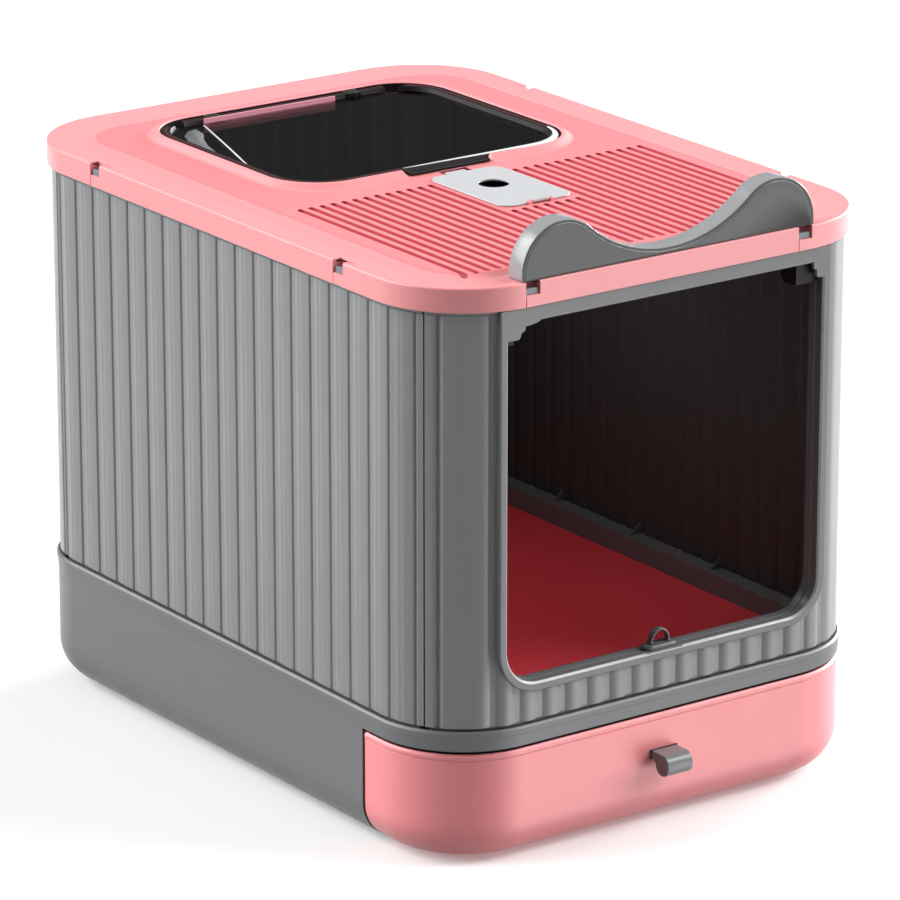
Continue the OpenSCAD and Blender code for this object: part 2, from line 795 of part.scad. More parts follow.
// Blocks on the ledge that hold the outer ends of the hinge pins
module flap_hinge_clips() {
    color(dark_grey) placed() for (x = [-1, 1]) difference() {
        translate([x * (clip_x + clip_w / 2) - clip_w / 2, flap_axis_y - 5.5, flap_ledge])
            cube([clip_w, 10.3, flap_axis_z - flap_ledge + 3.4]);
        translate([x * (clip_x + clip_w / 2), flap_axis_y, flap_axis_z]) rotate([0, 90, 0])
            cylinder(d = flap_pin_d, h = clip_w + 2, center = true);
    }
}

module flap_hinge_pins() {
    l = barrel_w + clip_w - 1;
    x0 = clip_x + clip_w - l / 2 - 0.5;
    color("silver") placed() for (x = [-x0, x0]) translate([x, flap_axis_y, flap_axis_z]) rotate([0, 90, 0])
        cylinder(d = flap_pin_d, h = l, center = true);
}

// ---- ear rail ----

// Outline of the right half of the rail, inset by g: ear arc, then the dip's arc, which meets it smoothly
function dip_r() = let (d = dip_z - ear_z) (ear_x * ear_x + d * d - ear_r * ear_r) / (2 * (ear_r - d));
function half_rail(g) =
    let (r = ear_r - g, dr = dip_r() + g, cz = dip_z + dip_r(), a0 = atan2(cz - ear_z, -ear_x),
         foot = -asin(ear_z / r), n = 24)
    concat([for (i = [0:n]) let (a = foot + (a0 - foot) * i / n) [ear_x + r * cos(a), ear_z + r * sin(a)]],
           [for (i = [1:n]) let (a = a0 - 180 + (90 - a0) * i / n) [dr * cos(a), cz + dr * sin(a)]]);

module rail_outline(g) {
    half = half_rail(g);
    n = len(half) - 1;
    translate([0, cover_top])
        polygon(concat(half, [for (i = [n - 1:-1:0]) [-half[i][0], half[i][1]]]));
}

module ear_rail() {
    color(grey) placed() difference() {
        union() {
            difference() {
                upright_slab(rail_y0, rail_y1) rail_outline(0);
                upright_slab(rail_y0 + rail_wall, rail_y1 - rail_wall) rail_outline(rail_wall);
            }
            intersection() {
                upright_slab(rail_y0 + 1, rail_y1 - 1) rail_outline(1);
                for (x = rail_screw_x, m = [-1, 1]) translate([m * x, rail_screw_y, cover_top])
                    cylinder(d = 8, h = 24);
            }
        }
        for (x = rail_screw_x, m = [-1, 1]) translate([m * x, rail_screw_y, cover_top - 1])
            cylinder(d = rail_screw_d, h = 17);
    }
}

module rail_screws() {
    color("silver") placed() for (x = rail_screw_x, m = [-1, 1]) translate([m * x, rail_screw_y, 0]) {
        translate([0, 0, plate_under - 2.4]) cylinder(d = 7, h = 2.4);
        translate([0, 0, plate_under - 1]) cylinder(d = rail_screw_d, h = cover_plate + 15);
    }
}

// ---- deodoriser ----

module deodoriser_plate() {
    ear = plate_ear_x + plate_ear_w / 2;
    color(light_grey) placed() difference() {
        union() {
            translate([0, plate_cy, plate_z])
                upright(plate_w / 2, plate_l / 2, plate_r, 0, plate_t);
            translate([-11, plate_y1 - 3, plate_z]) cube([22, 6.6, 1.3]);
            translate([0, plate_y0, plate_axis_z]) rotate([0, 90, 0])
                cylinder(r = plate_barrel_r, h = 2 * plate_ear_x - 0.8, center = true);
        }
        translate([0, plate_cy + vent_shift, plate_z - 1]) cylinder(d = vent_d, h = plate_t + 2);
        translate([0, plate_y0, plate_axis_z]) rotate([0, 90, 0])
            cylinder(d = plate_pin_d + 2 * pin_gap, h = 2 * plate_ear_x + 2, center = true);
        for (x = [-ear, ear]) translate([x - plate_ear_w / 2 - 0.4, plate_y0 - 5, plate_z - 1])
            cube([plate_ear_w + 0.8, 5 + plate_barrel_r + 0.5, 10]);
    }
}

module plate_hinge_pin() {
    color("silver") placed() translate([0, plate_y0, plate_axis_z]) rotate([0, 90, 0])
        cylinder(d = plate_pin_d, h = 2 * (plate_ear_x + plate_ear_w) - 0.4, center = true);
}

module deodoriser_cup() {
    a = cup_w / 2;
    b = cup_l / 2;
    color(grey) placed() translate([0, plate_cy, 0]) difference() {
        union() {
            upright(a, b, 8, cup_top - cup_h, cup_top);
            upright(a + cup_flange, b + cup_flange, 9.6, cup_top - cup_flange_t, cup_top);
        }
        upright(a - cup_wall, b - cup_wall, 8 - cup_wall, cup_top - cup_h + cup_wall, cup_top + 1);
        for (x = [-2:2], y = [-1, 1])
            translate([x * 8 - 1.5, y * b / 2 - 12, cup_top - cup_h - 1]) cube([3, 24, cup_wall + 2]);
    }
}

module charcoal_pack() {
    color("#26272a") placed() translate([0, plate_cy, 0])
        upright(cup_w / 2 - cup_wall - 1, cup_l / 2 - cup_wall - 1, 5,
                cup_top - cup_h + cup_wall, cup_top - cup_h + cup_wall + pack_t);
}

// ---- door latch ----

// Oval foot that turns on the sill, with an upright finger loop
module door_latch() {
    z = door_sill + 0.05;
    c = z + latch_t + loop_rise;
    color(dark_grey) placed() translate([0, latch_y, 0]) difference() {
        union() {
            translate([0, 0, z]) linear_extrude(latch_t) {
                square([latch_l - latch_w, latch_w], center = true);
                for (x = [-1, 1]) translate([x * (latch_l - latch_w) / 2, 0]) circle(d = latch_w);
            }
            translate([-loop_r, -loop_w / 2, z + latch_t - 1]) cube([2 * loop_r, loop_w, loop_rise + 1]);
            intersection() {
                translate([0, 0, c]) rotate([90, 0, 0]) cylinder(r = loop_r, h = loop_w, center = true);
                translate([-loop_r - 1, -loop_w, z + latch_t - 1])
                    cube([2 * loop_r + 2, 2 * loop_w, 2 * loop_r + 2]);
            }
        }
        intersection() {
            translate([0, 0, c]) rotate([90, 0, 0]) cylinder(r = loop_hole, h = loop_w + 3, center = true);
            translate([-loop_r, -loop_w, z + latch_t + 0.2]) cube([2 * loop_r, 2 * loop_w, 2 * loop_r]);
        }
        translate([0, 0, z - 1]) cylinder(d = latch_pin_d, h = latch_t + 0.4);
    }
}

module latch_screw() {
    color("silver") placed() translate([0, latch_y, 0]) {
        translate([0, 0, door_sill - jamb_t - 2.6]) cylinder(d = 8, h = 2.4);
        translate([0, 0, door_sill - jamb_t - 1]) cylinder(d = latch_pin_d, h = jamb_t + latch_t);
    }
}

// ---- drawer ----

// Outer form of the drawer, or its hollow when inset by the wall
module drawer_form(g, top) {
    z0 = foot_out + g;
    translate([0, 0, z0]) intersection() {
        tray_form(base_a - band_proud - g, base_b - band_proud - g, base_r - band_proud - g,
                  top - z0, base_fillet - g);
        translate([-cover_w, -cover_d, -1])
            cube([2 * cover_w, cover_d + cut_y - drawer_gap - g, 500]);
    }
    a = tray_side - g;
    y1 = base_b - band_proud - base_wall - 6 - g;
    y0 = cut_y - 90 + g;
    zr = runner_z + runner_h + 0.3 + g;
    translate([0, (y0 + y1) / 2, zr])
        tray_form(a, (y1 - y0) / 2, 58 - g, top - zr, base_fillet - base_wall - 2 - g);
}

module drawer() {
    color(pink) placed() difference() {
        union() {
            intersection() {
                drawer_form(0, drawer_top);
                translate([-cover_w, -cover_d, -1]) cube([2 * cover_w, cover_d + cut_y - drawer_gap, 500]);
            }
            intersection() {
                drawer_form(0, drawer_top - 2.5);
                translate([-cover_w, cut_y - drawer_gap - e, -1]) cube([2 * cover_w, cover_d, 500]);
            }
            for (x = [-1, 1]) translate([x * (tray_side + 1) - 2, stop_y + drawer_travel + 0.3, 60])
                cube([4, 6, 20]);
        }
        drawer_form(drawer_wall, 200);
        pull_screw_places() cylinder(d = pull_screw_d + 0.3, h = 20, center = true);
    }
}

// Axes of the pull's screws, pointing out of the drawer's front
module pull_screw_places() {
    for (x = [-1, 1]) translate([x * 7, -base_b + band_proud, pull_z - pull_root / 2])
        rotate([90, 0, 0]) children();
}

// The pull's profile in the Y-Z plane: an arm that swells into a thick round end
module pull_profile() {
    r = pull_lip / 2;
    middle = pull_out - r;
    translate([0, -pull_root]) square([middle, pull_root]);
    for (z = [-r, -pull_drop + r]) translate([middle, z]) circle(r);
    translate([middle - r, -pull_drop + r]) square([2 * r, pull_drop - 2 * r]);
}

module drawer_pull() {
    color(grey) placed() difference() {
        translate([-pull_w / 2, -base_b + band_proud, pull_z]) rotate([90, 0, 90])
            linear_extrude(pull_w) mirror([1, 0]) pull_profile();
        pull_screw_places() cylinder(d = pull_screw_d, h = 9);
    }
}

module pull_screws() {
    color("silver") placed() pull_screw_places() {
        translate([0, 0, -drawer_wall - 2]) cylinder(d = 6, h = 2);
        translate([0, 0, -drawer_wall - 1]) cylinder(d = pull_screw_d, h = drawer_wall + 9);
    }
}

base_shell();
foot_pads();
litter_screen();
left_wall();
right_wall();
front_panel();
back_panel();
door_hinge_left();
door_hinge_right();
top_cover();
hatch_flap();
flap_hinge_clips();
flap_hinge_pins();
ear_rail();
rail_screws();
deodoriser_plate();
plate_hinge_pin();
deodoriser_cup();
charcoal_pack();
door_latch();
latch_screw();
drawer();
drawer_pull();
pull_screws();
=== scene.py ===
import logging
import math
from collections.abc import Callable, Iterator, Sequence
from dataclasses import dataclass, field, replace
from enum import Enum

import bmesh
import bpy
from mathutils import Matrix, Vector


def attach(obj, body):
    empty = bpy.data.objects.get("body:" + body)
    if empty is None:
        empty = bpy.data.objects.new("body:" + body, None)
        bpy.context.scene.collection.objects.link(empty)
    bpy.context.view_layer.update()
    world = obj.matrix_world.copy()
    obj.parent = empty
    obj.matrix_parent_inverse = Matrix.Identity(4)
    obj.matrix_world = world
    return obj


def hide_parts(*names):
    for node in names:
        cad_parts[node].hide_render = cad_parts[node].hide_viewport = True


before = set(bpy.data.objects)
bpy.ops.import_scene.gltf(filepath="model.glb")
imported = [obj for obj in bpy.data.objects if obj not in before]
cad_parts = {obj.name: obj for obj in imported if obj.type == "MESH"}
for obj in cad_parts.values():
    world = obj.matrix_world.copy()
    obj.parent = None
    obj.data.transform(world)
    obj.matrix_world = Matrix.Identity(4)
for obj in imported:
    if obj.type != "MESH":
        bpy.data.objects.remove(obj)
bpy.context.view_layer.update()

MM = 0.001
SHIFT_Y = 9.4  # from the cover's middle to the middle of the whole box
FAR = 400.0  # how far a cutting block reaches to the sides
BELOW, ABOVE = -50.0, 300.0  # heights of a cutting block under and over the base

Colour = tuple[float, float, float, float]
Pair = tuple[float, float]
Flat = Sequence[Pair]
Ring = list[Vector]

log = logging.getLogger("litter_box")


# ---------------------------------------------------------------- shaders


class Value:
    """A number socket of a shader that takes part in Python arithmetic."""

    def __init__(self, nodes: "Nodes", socket: bpy.types.NodeSocket) -> None:
        """Keeps the tree that new nodes go into and the socket that gives the number."""
        self.nodes, self.socket = nodes, socket

    def _math(self, operation: str, first: "Value | float", second: "Value | float") -> "Value":
        """The result of one Math node, given its operation and its inputs."""
        node = self.nodes.node("ShaderNodeMath", {"operation": operation}, {0: first, 1: second})
        return Value(self.nodes, node.outputs[0])

    def __add__(self, other: "Value | float") -> "Value":
        """Sum."""
        return self._math("ADD", self, other)

    __radd__ = __add__

    def __mul__(self, other: "Value | float") -> "Value":
        """Product."""
        return self._math("MULTIPLY", self, other)

    __rmul__ = __mul__

    def __sub__(self, other: "Value | float") -> "Value":
        """Difference."""
        return self._math("SUBTRACT", self, other)

    def __rsub__(self, other: "Value | float") -> "Value":
        """Difference with the number first."""
        return self._math("SUBTRACT", other, self)

    def __pow__(self, other: "Value | float") -> "Value":
        """Power."""
        return self._math("POWER", self, other)

    def at_least(self, other: "Value | float") -> "Value":
        """The larger of the two."""
        return self._math("MAXIMUM", self, other)

    def at_most(self, other: "Value | float") -> "Value":
        """The smaller of the two."""
        return self._math("MINIMUM", self, other)


class Nodes:
    """A node tree, and the ways to add to it."""

    def __init__(self, tree: bpy.types.NodeTree) -> None:
        """Keeps the tree of a material or of the sky, and empties it."""
        self.tree = tree
        self.tree.nodes.clear()

    def node(
        self,
        kind: str,
        settings: dict[str, object] | None = None,
        sockets: dict[str | int, object] | None = None,
    ) -> bpy.types.Node:
        """Adds a node.

        Args:
            kind: The node's type.
            settings: Properties, which are set first.
            sockets: Values or links of its inputs, by name or number.

        Returns:
            The new node.
        """
        made = self.tree.nodes.new(kind)
        for name, value in (settings or {}).items():
            setattr(made, name, value)
        for name, value in (sockets or {}).items():
            self.feed(made.inputs[name], value)
        return made

    def feed(self, socket: bpy.types.NodeSocket, value: object) -> None:
        """Links a socket, or sets its value.

        Args:
            socket: The input.
            value: A Value, an output socket, a number or a colour.
        """
        if isinstance(value, Value):
            self.tree.links.new(value.socket, socket)
        elif isinstance(value, bpy.types.NodeSocket):
            self.tree.links.new(value, socket)
        else:
            socket.default_value = value

    def blend(self, share: Value, first: object, second: object) -> bpy.types.NodeSocket:
        """The first colour mixed with a share of the second."""
        kind = {"data_type": "RGBA", "blend_type": "MIX"}
        return self.node("ShaderNodeMix", kind, {0: share, 6: first, 7: second}).outputs[2]


class Shader(Nodes):
    """A material with one Principled surface and the nodes that feed it."""

    def __init__(self, name: str) -> None:
        """Makes the material.

        Args:
            name: The material's name.
        """
        self.material = bpy.data.materials.new(name)
        self.material.use_nodes = True
        super().__init__(self.material.node_tree)
        self.surface = self.node("ShaderNodeBsdfPrincipled")
        self.node("ShaderNodeOutputMaterial", sockets={"Surface": self.surface.outputs[0]})
        self.place = self.node("ShaderNodeTexCoord").outputs["Object"]

    def set(self, **inputs: object) -> None:
        """Sets or links inputs of the surface, with underscores for the spaces in their names."""
        for name, value in inputs.items():
            self.feed(self.surface.inputs[name.replace("_", " ")], value)

    def stretched(self, scale: Sequence[float], turn: float = 0.0) -> bpy.types.NodeSocket:
        """The place on the object, scaled along X, Y and Z and turned about Z in degrees."""
        sockets = {"Vector": self.place, "Rotation": (0, 0, math.radians(turn)), "Scale": scale}
        return self.node("ShaderNodeMapping", sockets=sockets).outputs[0]

    def noise(
        self, scale: float, detail: float = 3.0, rough: float = 0.5, place: object = None
    ) -> Value:
        """Noise around one half.

        Args:
            scale: Features per metre.
            detail: Octaves.
            rough: Share of each next octave.
            place: Where it is read, the place on the object if left out.

        Returns:
            The noise.
        """
        sockets = {"Vector": place or self.place, "Scale": scale, "Detail": detail, "Roughness": rough}
        node = self.node("ShaderNodeTexNoise", {"noise_dimensions": "3D"}, sockets)
        return Value(self, node.outputs["Fac"])

    def height(self) -> Value:
        """The height on the object in metres."""
        return Value(self, self.node("ShaderNodeSeparateXYZ", sockets={0: self.place}).outputs["Z"])

    def bump(self, height: Value, depth: float, below: object = None) -> bpy.types.NodeSocket:
        """Raises the surface by a height.

        Args:
            height: From 0 to 1.
            depth: What 1 means, in metres.
            below: A normal from another bump.

        Returns:
            The normal.
        """
        sockets = {"Strength": 1.0, "Distance": depth, "Height": height}
        if below is not None:
            sockets["Normal"] = below
        return self.node("ShaderNodeBump", sockets=sockets).outputs[0]


def srgb(*parts: int) -> Colour:
    """Red, green and blue from 0 to 255, the way screens name them, as a colour in linear light."""
    shares = [part / 255 for part in parts]
    return (*(s / 12.92 if s <= 0.04045 else ((s + 0.055) / 1.055) ** 2.4 for s in shares), 1.0)


def darker(colour: Colour, by: float) -> Colour:
    """The colour with its light multiplied."""
    return (colour[0] * by, colour[1] * by, colour[2] * by, 1.0)


@dataclass(frozen=True)
class MouldedPlastic:
    """Injection-moulded plastic: a fine grain, faint sink marks and slightly uneven gloss.

    The colour drifts a little over the piece, as it does where the melt cooled at different rates.
    Some pieces are darkened towards their lowest part as painted shade.
    """

    name: str
    colour: Colour
    roughness: float = 0.42
    grain: float = 0.00004
    waves: float = 0.00025
    drift: float = 0.04
    specular: float = 0.5
    # How strongly the lowest part is darkened as painted shade, and over what height in metres.
    bottom_shade: float = 0.0
    bottom_shade_height: float = 1 / 24

    def make(self) -> bpy.types.Material:
        """Builds the material.

        Returns:
            The material.
        """
        shader = Shader(self.name)
        flow = shader.noise(9.0, 2.0)
        patches = shader.noise(55.0, 3.0)
        specks = shader.noise(1600.0, 2.0, 0.6)
        rubbed = shader.noise(30.0, 4.0, 0.62, shader.stretched((1.0, 1.0, 0.25)))
        share = (flow * 0.7 + patches * 0.3).at_most(1.0)
        tone = shader.blend(share, darker(self.colour, 1 - self.drift), darker(self.colour, 1 + self.drift))
        if self.bottom_shade:
            # Painted shade: the colour darkens towards the floor, blotched by the patches noise.
            low = (shader.height() * (-1 / self.bottom_shade_height) + 1.0).at_least(0.0) * (patches * 0.5 + 0.75)
            tone = shader.blend((low * self.bottom_shade).at_most(1.0), tone, darker(self.colour, 0.35))
        body = shader.bump(flow * 0.6 + patches * 0.4, self.waves)
        uneven = (patches - 0.5) * 0.10 + (specks - 0.5) * 0.08 + (rubbed - 0.5) * 0.12
        shader.set(
            Base_Color=tone,
            Roughness=self.roughness + uneven,
            Normal=shader.bump(specks, self.grain, body),
            Specular_IOR_Level=self.specular,
        )
        return shader.material


@dataclass(frozen=True)
class ClearPlastic:
    """Clear moulded sheet, smoky, with faint ripples and a few smears."""

    name: str = "clear_plastic"
    tint: Colour = (0.30, 0.29, 0.29, 1.0)
    refraction: float = 1.10

    def make(self) -> bpy.types.Material:
        """Builds the material.

        Returns:
            The material.
        """
        shader = Shader(self.name)
        smears = shader.noise(38.0, 5.0, 0.65, shader.stretched((1.0, 0.35, 1.0), 20.0))
        shader.set(
            Base_Color=self.tint,
            Roughness=0.02 + (smears - 0.55).at_least(0.0) * 0.5,
            Normal=shader.bump(shader.noise(14.0, 2.0), 0.0002),
            Transmission_Weight=1.0,
            IOR=self.refraction,
        )
        return shader.material


@dataclass(frozen=True)
class WovenScreen:
    """Fine screen cloth moulded into a frame: crossing strands on the slant with tiny holes."""

    name: str = "woven_screen"
    strand: Colour = srgb(252, 84, 96)
    hole: Colour = srgb(196, 40, 50)
    pitch: float = 0.0026
    strands: tuple[Pair, Pair] = ((4.0, 1.0), (-86.0, 0.55))  # angle in degrees, height

    def make(self) -> bpy.types.Material:
        """Builds the material.

        Returns:
            The material.
        """
        shader = Shader(self.name)
        heights = []
        for angle, reach in self.strands:
            node = shader.node(
                "ShaderNodeTexWave",
                {"wave_type": "BANDS", "bands_direction": "X", "wave_profile": "SIN"},
                {
                    "Vector": shader.stretched((1.0, 1.0, 1.0), angle),
                    "Scale": 2 * math.pi / self.pitch / 20,
                    "Distortion": 2.2,
                    "Detail": 1.5,
                    "Detail Scale": 0.5,
                },
            )
            heights.append(Value(shader, node.outputs["Fac"]) * reach)
        weave = heights[0].at_least(heights[1])
        fade = shader.noise(16.0, 3.0)
        share = (weave ** 1.6) * (fade * 0.5 + 0.7)
        shader.set(
            Base_Color=shader.blend(share.at_most(1.0), self.hole, self.strand),
            Roughness=0.62 + (fade - 0.5) * 0.2,
            Normal=shader.bump(weave, 0.0005),
        )
        return shader.material


@dataclass(frozen=True)
class Steel:
    """Drawn steel rod and screw heads with fine turning marks."""

    name: str = "steel"

    def make(self) -> bpy.types.Material:
        """Builds the material.

        Returns:
            The material.
        """
        shader = Shader(self.name)
        marks = shader.noise(900.0, 3.0, 0.6, shader.stretched((0.05, 1.0, 1.0)))
        shader.set(
            Base_Color=shader.blend(shader.noise(60.0), srgb(168, 170, 172), srgb(196, 197, 198)),
            Metallic=1.0,
            Roughness=0.3 + (marks - 0.5) * 0.2,
            Normal=shader.bump(marks, 0.00002),
        )
        return shader.material


@dataclass(frozen=True)
class SoftPad:
    """Rubber feet or felt: matt, speckled and slightly dusty."""

    name: str
    colour: Colour
    fuzz: float = 0.0002

    def make(self) -> bpy.types.Material:
        """Builds the material.

        Returns:
            The material.
        """
        shader = Shader(self.name)
        fibres = shader.noise(700.0, 4.0, 0.7)
        dust = shader.noise(45.0, 4.0, 0.6)
        shader.set(
            Base_Color=shader.blend((dust - 0.35).at_least(0.0), self.colour, srgb(96, 96, 98)),
            Roughness=0.85 + (fibres - 0.5) * 0.2,
            Normal=shader.bump(fibres, self.fuzz),
        )
        return shader.material


class Finish(Enum):
    """The finishes of the box, by what they are used for."""

    PINK = MouldedPlastic("pink_plastic", srgb(243, 154, 157), 0.36)
    PINK_PANEL = MouldedPlastic("pink_panel_plastic", srgb(240, 135, 140), 0.40)
    # The drawer's colour is darkened towards the floor as painted shade.
    PINK_BASE = MouldedPlastic("pink_drawer_plastic", srgb(246, 146, 150), 0.36, bottom_shade=0.2)
    # Darker pink for the grooves' floors and walls: painted shade.
    PINK_DEEP = MouldedPlastic("pink_groove_painted_shade", srgb(186, 70, 80), 0.5)
    # Dark maroon: pink plastic in shade, painted on the rim's ledge edge as painted shade and on the clear
    # flap's crest line as painted reflection.
    MAROON = MouldedPlastic("shaded_pink_painted", srgb(86, 36, 42), 0.4)
    # Near-black plastic: real on the door's hinge sockets; painted shade on the pink rim's inner wall and
    # ledge and on the clear flap's border, tab and barrels, where the dark inside shows through.
    SMOKE = MouldedPlastic("dark_plastic_and_painted_shade", srgb(28, 21, 23), 0.46, waves=0.0001, specular=0.2)
    # White gloss on the clear flap's front strip and line: painted highlights.
    POLISHED = MouldedPlastic("white_painted_highlight", srgb(226, 228, 230), 0.12, waves=0.0001)
    ROSE = MouldedPlastic("rose_clear_plastic", srgb(250, 170, 186), 0.2, waves=0.0001)
    # A lighter copy of the wall grey on the band at the panels' heads: painted highlight.
    BAND = MouldedPlastic("grey_band_painted_highlight", srgb(136, 142, 146), 0.34)
    HOOK = MouldedPlastic("grey_hook_plastic", srgb(112, 122, 128), 0.34)
    # A lighter, glossier grey on the chamfer round the doorway: painted highlight.
    EDGE = MouldedPlastic("grey_edge_painted_highlight", srgb(176, 178, 180), 0.2, waves=0.0001)
    GREY = MouldedPlastic("grey_plastic", srgb(105, 106, 108), 0.32)
    PULL = MouldedPlastic("grey_pull_plastic", srgb(126, 128, 130), 0.3)
    WALL = MouldedPlastic("grey_wall_plastic", srgb(127, 129, 131), 0.34, waves=0.00015)
    # The tub's colour is darkened towards the floor as painted shade.
    BASE = MouldedPlastic("grey_base_plastic", srgb(104, 105, 107), 0.38, bottom_shade=0.6)
    RAIL = MouldedPlastic("grey_rail_plastic", srgb(69, 71, 72), 0.34, waves=0.00012)
    # Lighter grey for the rail's top and ends, a lit copy of the rail grey: painted highlight.
    RAIL_TOP = MouldedPlastic("grey_rail_top_painted_highlight", srgb(146, 148, 150), 0.2, waves=0.00012)
    # Dark grey for the panels' inner faces, the seam strips, the tongues, the line under each band and the
    # lip behind the sill: the grey plastic darkened as painted shade.
    INNER_GREY = MouldedPlastic("grey_inner_painted_shade", srgb(58, 58, 58), 0.5)
    LEDGE = MouldedPlastic("ledge_plastic", srgb(96, 96, 98), 0.42)
    DARK_GREY = MouldedPlastic("dark_grey_plastic", srgb(96, 98, 101), 0.14, waves=0.0001)
    # Black plastic of the pull's seat and the hinge clips; in the strip inside the gap above the drawer it is
    # painted shade.
    SOCKET = MouldedPlastic("black_plastic_and_painted_shade", srgb(30, 30, 31), 0.36)
    LIGHT_GREY = MouldedPlastic("light_grey_plastic", srgb(188, 190, 193), 0.34, waves=0.0001)
    CLEAR = ClearPlastic()
    SCREEN = WovenScreen()
    STEEL = Steel()
    RUBBER = SoftPad("rubber", srgb(34, 34, 35), 0.00008)
    CHARCOAL = SoftPad("charcoal_felt", srgb(22, 22, 24))

    def material(self) -> bpy.types.Material:
        """The finish's material, made the first time it is asked for."""
        return bpy.data.materials.get(self.value.name) or self.value.make()


# ---------------------------------------------------------------- shapes


def arc(centre: Pair, radius: float, start: float, end: float, steps: int) -> list[Pair]:
    """Points of an arc in a plane, both ends included.

    Args:
        centre: The arc's centre.
        radius: Its radius.
        start: First angle in degrees.
        end: Last angle in degrees.
        steps: Number of parts.

    Returns:
        The points in order.
    """
    angles = [math.radians(start + (end - start) * i / steps) for i in range(steps + 1)]
    return [(centre[0] + radius * math.cos(a), centre[1] + radius * math.sin(a)) for a in angles]


def around(centre: Pair, radius: float, steps: int) -> list[Pair]:
    """Points all round a circle, none of them twice."""
    return arc(centre, radius, 0, 360 - 360 / steps, steps - 1)


def smooth(share: float) -> float:
    """An S-shaped curve from 0 to 1."""
    return share * share * (3 - 2 * share)


def lying(plan: Flat, z: float) -> Ring:
    """Points (x, y) at one height."""
    return [Vector((x, y, z)) for x, y in plan]


def facing(flat: Flat, y: float) -> Ring:
    """Points (x, z) of an upright plane that faces the front, at one depth."""
    return [Vector((x, y, z)) for x, z in flat]


@dataclass(frozen=True)
class Outline:
    """A rounded rectangle in plan, in millimetres."""

    half_x: float
    half_y: float
    radius: float
    centre_x: float = 0.0
    centre_y: float = 0.0

    @property
    def front(self) -> float:
        """Depth of its front edge."""
        return self.centre_y - self.half_y

    def grown(self, by: float) -> "Outline":
        """The outline moved outwards, or inwards when negative."""
        radius = max(self.radius + by, 0.2)
        return replace(self, half_x=self.half_x + by, half_y=self.half_y + by, radius=radius)

    def holds(self, x: float, y: float) -> bool:
        """Whether a point lies within the outline."""
        over = (abs(x - self.centre_x) - self.half_x, abs(y - self.centre_y) - self.half_y)
        return math.hypot(*(max(o + self.radius, 0.0) for o in over)) < self.radius

    def ring(self, z: float, steps: int = 18) -> Ring:
        """The outline as a closed ring of points.

        Args:
            z: Height.
            steps: Parts of each corner's arc.

        Returns:
            The points, counter-clockwise from the right.
        """
        plan = []
        for corner, (sign_x, sign_y) in enumerate(((1, 1), (-1, 1), (-1, -1), (1, -1))):
            x = self.centre_x + sign_x * (self.half_x - self.radius)
            y = self.centre_y + sign_y * (self.half_y - self.radius)
            plan += arc((x, y), self.radius, 90 * corner, 90 * corner + 90, steps)
        return lying(plan, z)

    def rings(self, section: Flat, steps: int = 18) -> list[Ring]:
        """A ring for each point (outward, height) of a section."""
        return [self.grown(grow).ring(z, steps) for grow, z in section]


class Shell:
    """Gathers rings of points, in millimetres from the cover's middle, into a mesh."""

    def __init__(self) -> None:
        """Starts with no points."""
        self.points: list[Vector] = []
        self.faces: list[tuple[int, ...]] = []
        self.slots: list[int] = []

    def loft(self, rings: Sequence[Ring], looped: bool = False, slots: Sequence[int] = ()) -> "Shell":
        """Joins closed rings of the same length in order.

        Args:
            rings: The rings.
            looped: Whether the last ring joins the first, in place of a face at each end.
            slots: Material slot of each face of a band, all the first if left out.

        Returns:
            The shell itself.
        """
        numbers = []
        for ring in rings:
            numbers.append(range(len(self.points), len(self.points) + len(ring)))
            self.points.extend(ring)
        bands = list(zip(numbers, numbers[1:])) + ([(numbers[-1], numbers[0])] if looped else [])
        for first, second in bands:
            for i in range(len(first)):
                j = (i + 1) % len(first)
                self.faces.append((first[i], first[j], second[j], second[i]))
            self.slots.extend(slots or [0] * len(first))
        if not looped:
            self.faces += [tuple(numbers[0][::-1]), tuple(numbers[-1])]
            self.slots += [0, 0]
        return self

    def sweep(self, outline: Outline, section: Flat, steps: int) -> "Shell":
        """Runs a closed section of points (outward, height) round an outline."""
        return self.loft(outline.rings(section, steps), looped=True)

    def block(self, low: Sequence[float], high: Sequence[float]) -> "Shell":
        """Adds an upright block between two corners."""
        (x0, y0, z0), (x1, y1, z1) = low, high
        return self.loft([lying(((x0, y0), (x1, y0), (x1, y1), (x0, y1)), z) for z in (z0, z1)])

    def blocks(self, low: Sequence[float], high: Sequence[float]) -> "Shell":
        """Adds the mirror image of a block on the right, and the block."""
        return self.block((-high[0], *low[1:]), (-low[0], *high[1:])).block(low, high)

    def across(self, section: Flat, x0: float, x1: float) -> "Shell":
        """Extrudes a closed section of points (y, z) from one x to another."""
        return self.loft([[Vector((x, y, z)) for y, z in section] for x in (x0, x1)])

    def rod(self, centre: Sequence[float], radius: float, length: float, steps: int = 28) -> "Shell":
        """Adds a round bar along X, given by its middle."""
        flat, ends = around((0, 0), radius, steps), (-length / 2, length / 2)
        return self.loft([[Vector(centre) + Vector((x, *spot)) for spot in flat] for x in ends])

    def build(self, name: str) -> bpy.types.Object:
        """Makes the object, in metres and in the frame of the CAD model.

        Args:
            name: The object's name.

        Returns:
            The object, with its faces turned to the outside.
        """
        mesh = bpy.data.meshes.new(name)
        mesh.from_pydata([(p.x * MM, (p.y + SHIFT_Y) * MM, p.z * MM) for p in self.points], [], self.faces)
        for _ in range(max(self.slots) + 1):
            mesh.materials.append(None)
        mesh.polygons.foreach_set("material_index", self.slots)
        work = bmesh.new()
        work.from_mesh(mesh)
        bmesh.ops.remove_doubles(work, verts=work.verts, dist=1e-7)
        bmesh.ops.recalc_face_normals(work, faces=work.faces)
        work.to_mesh(mesh)
        work.free()
        return linked(name, mesh)


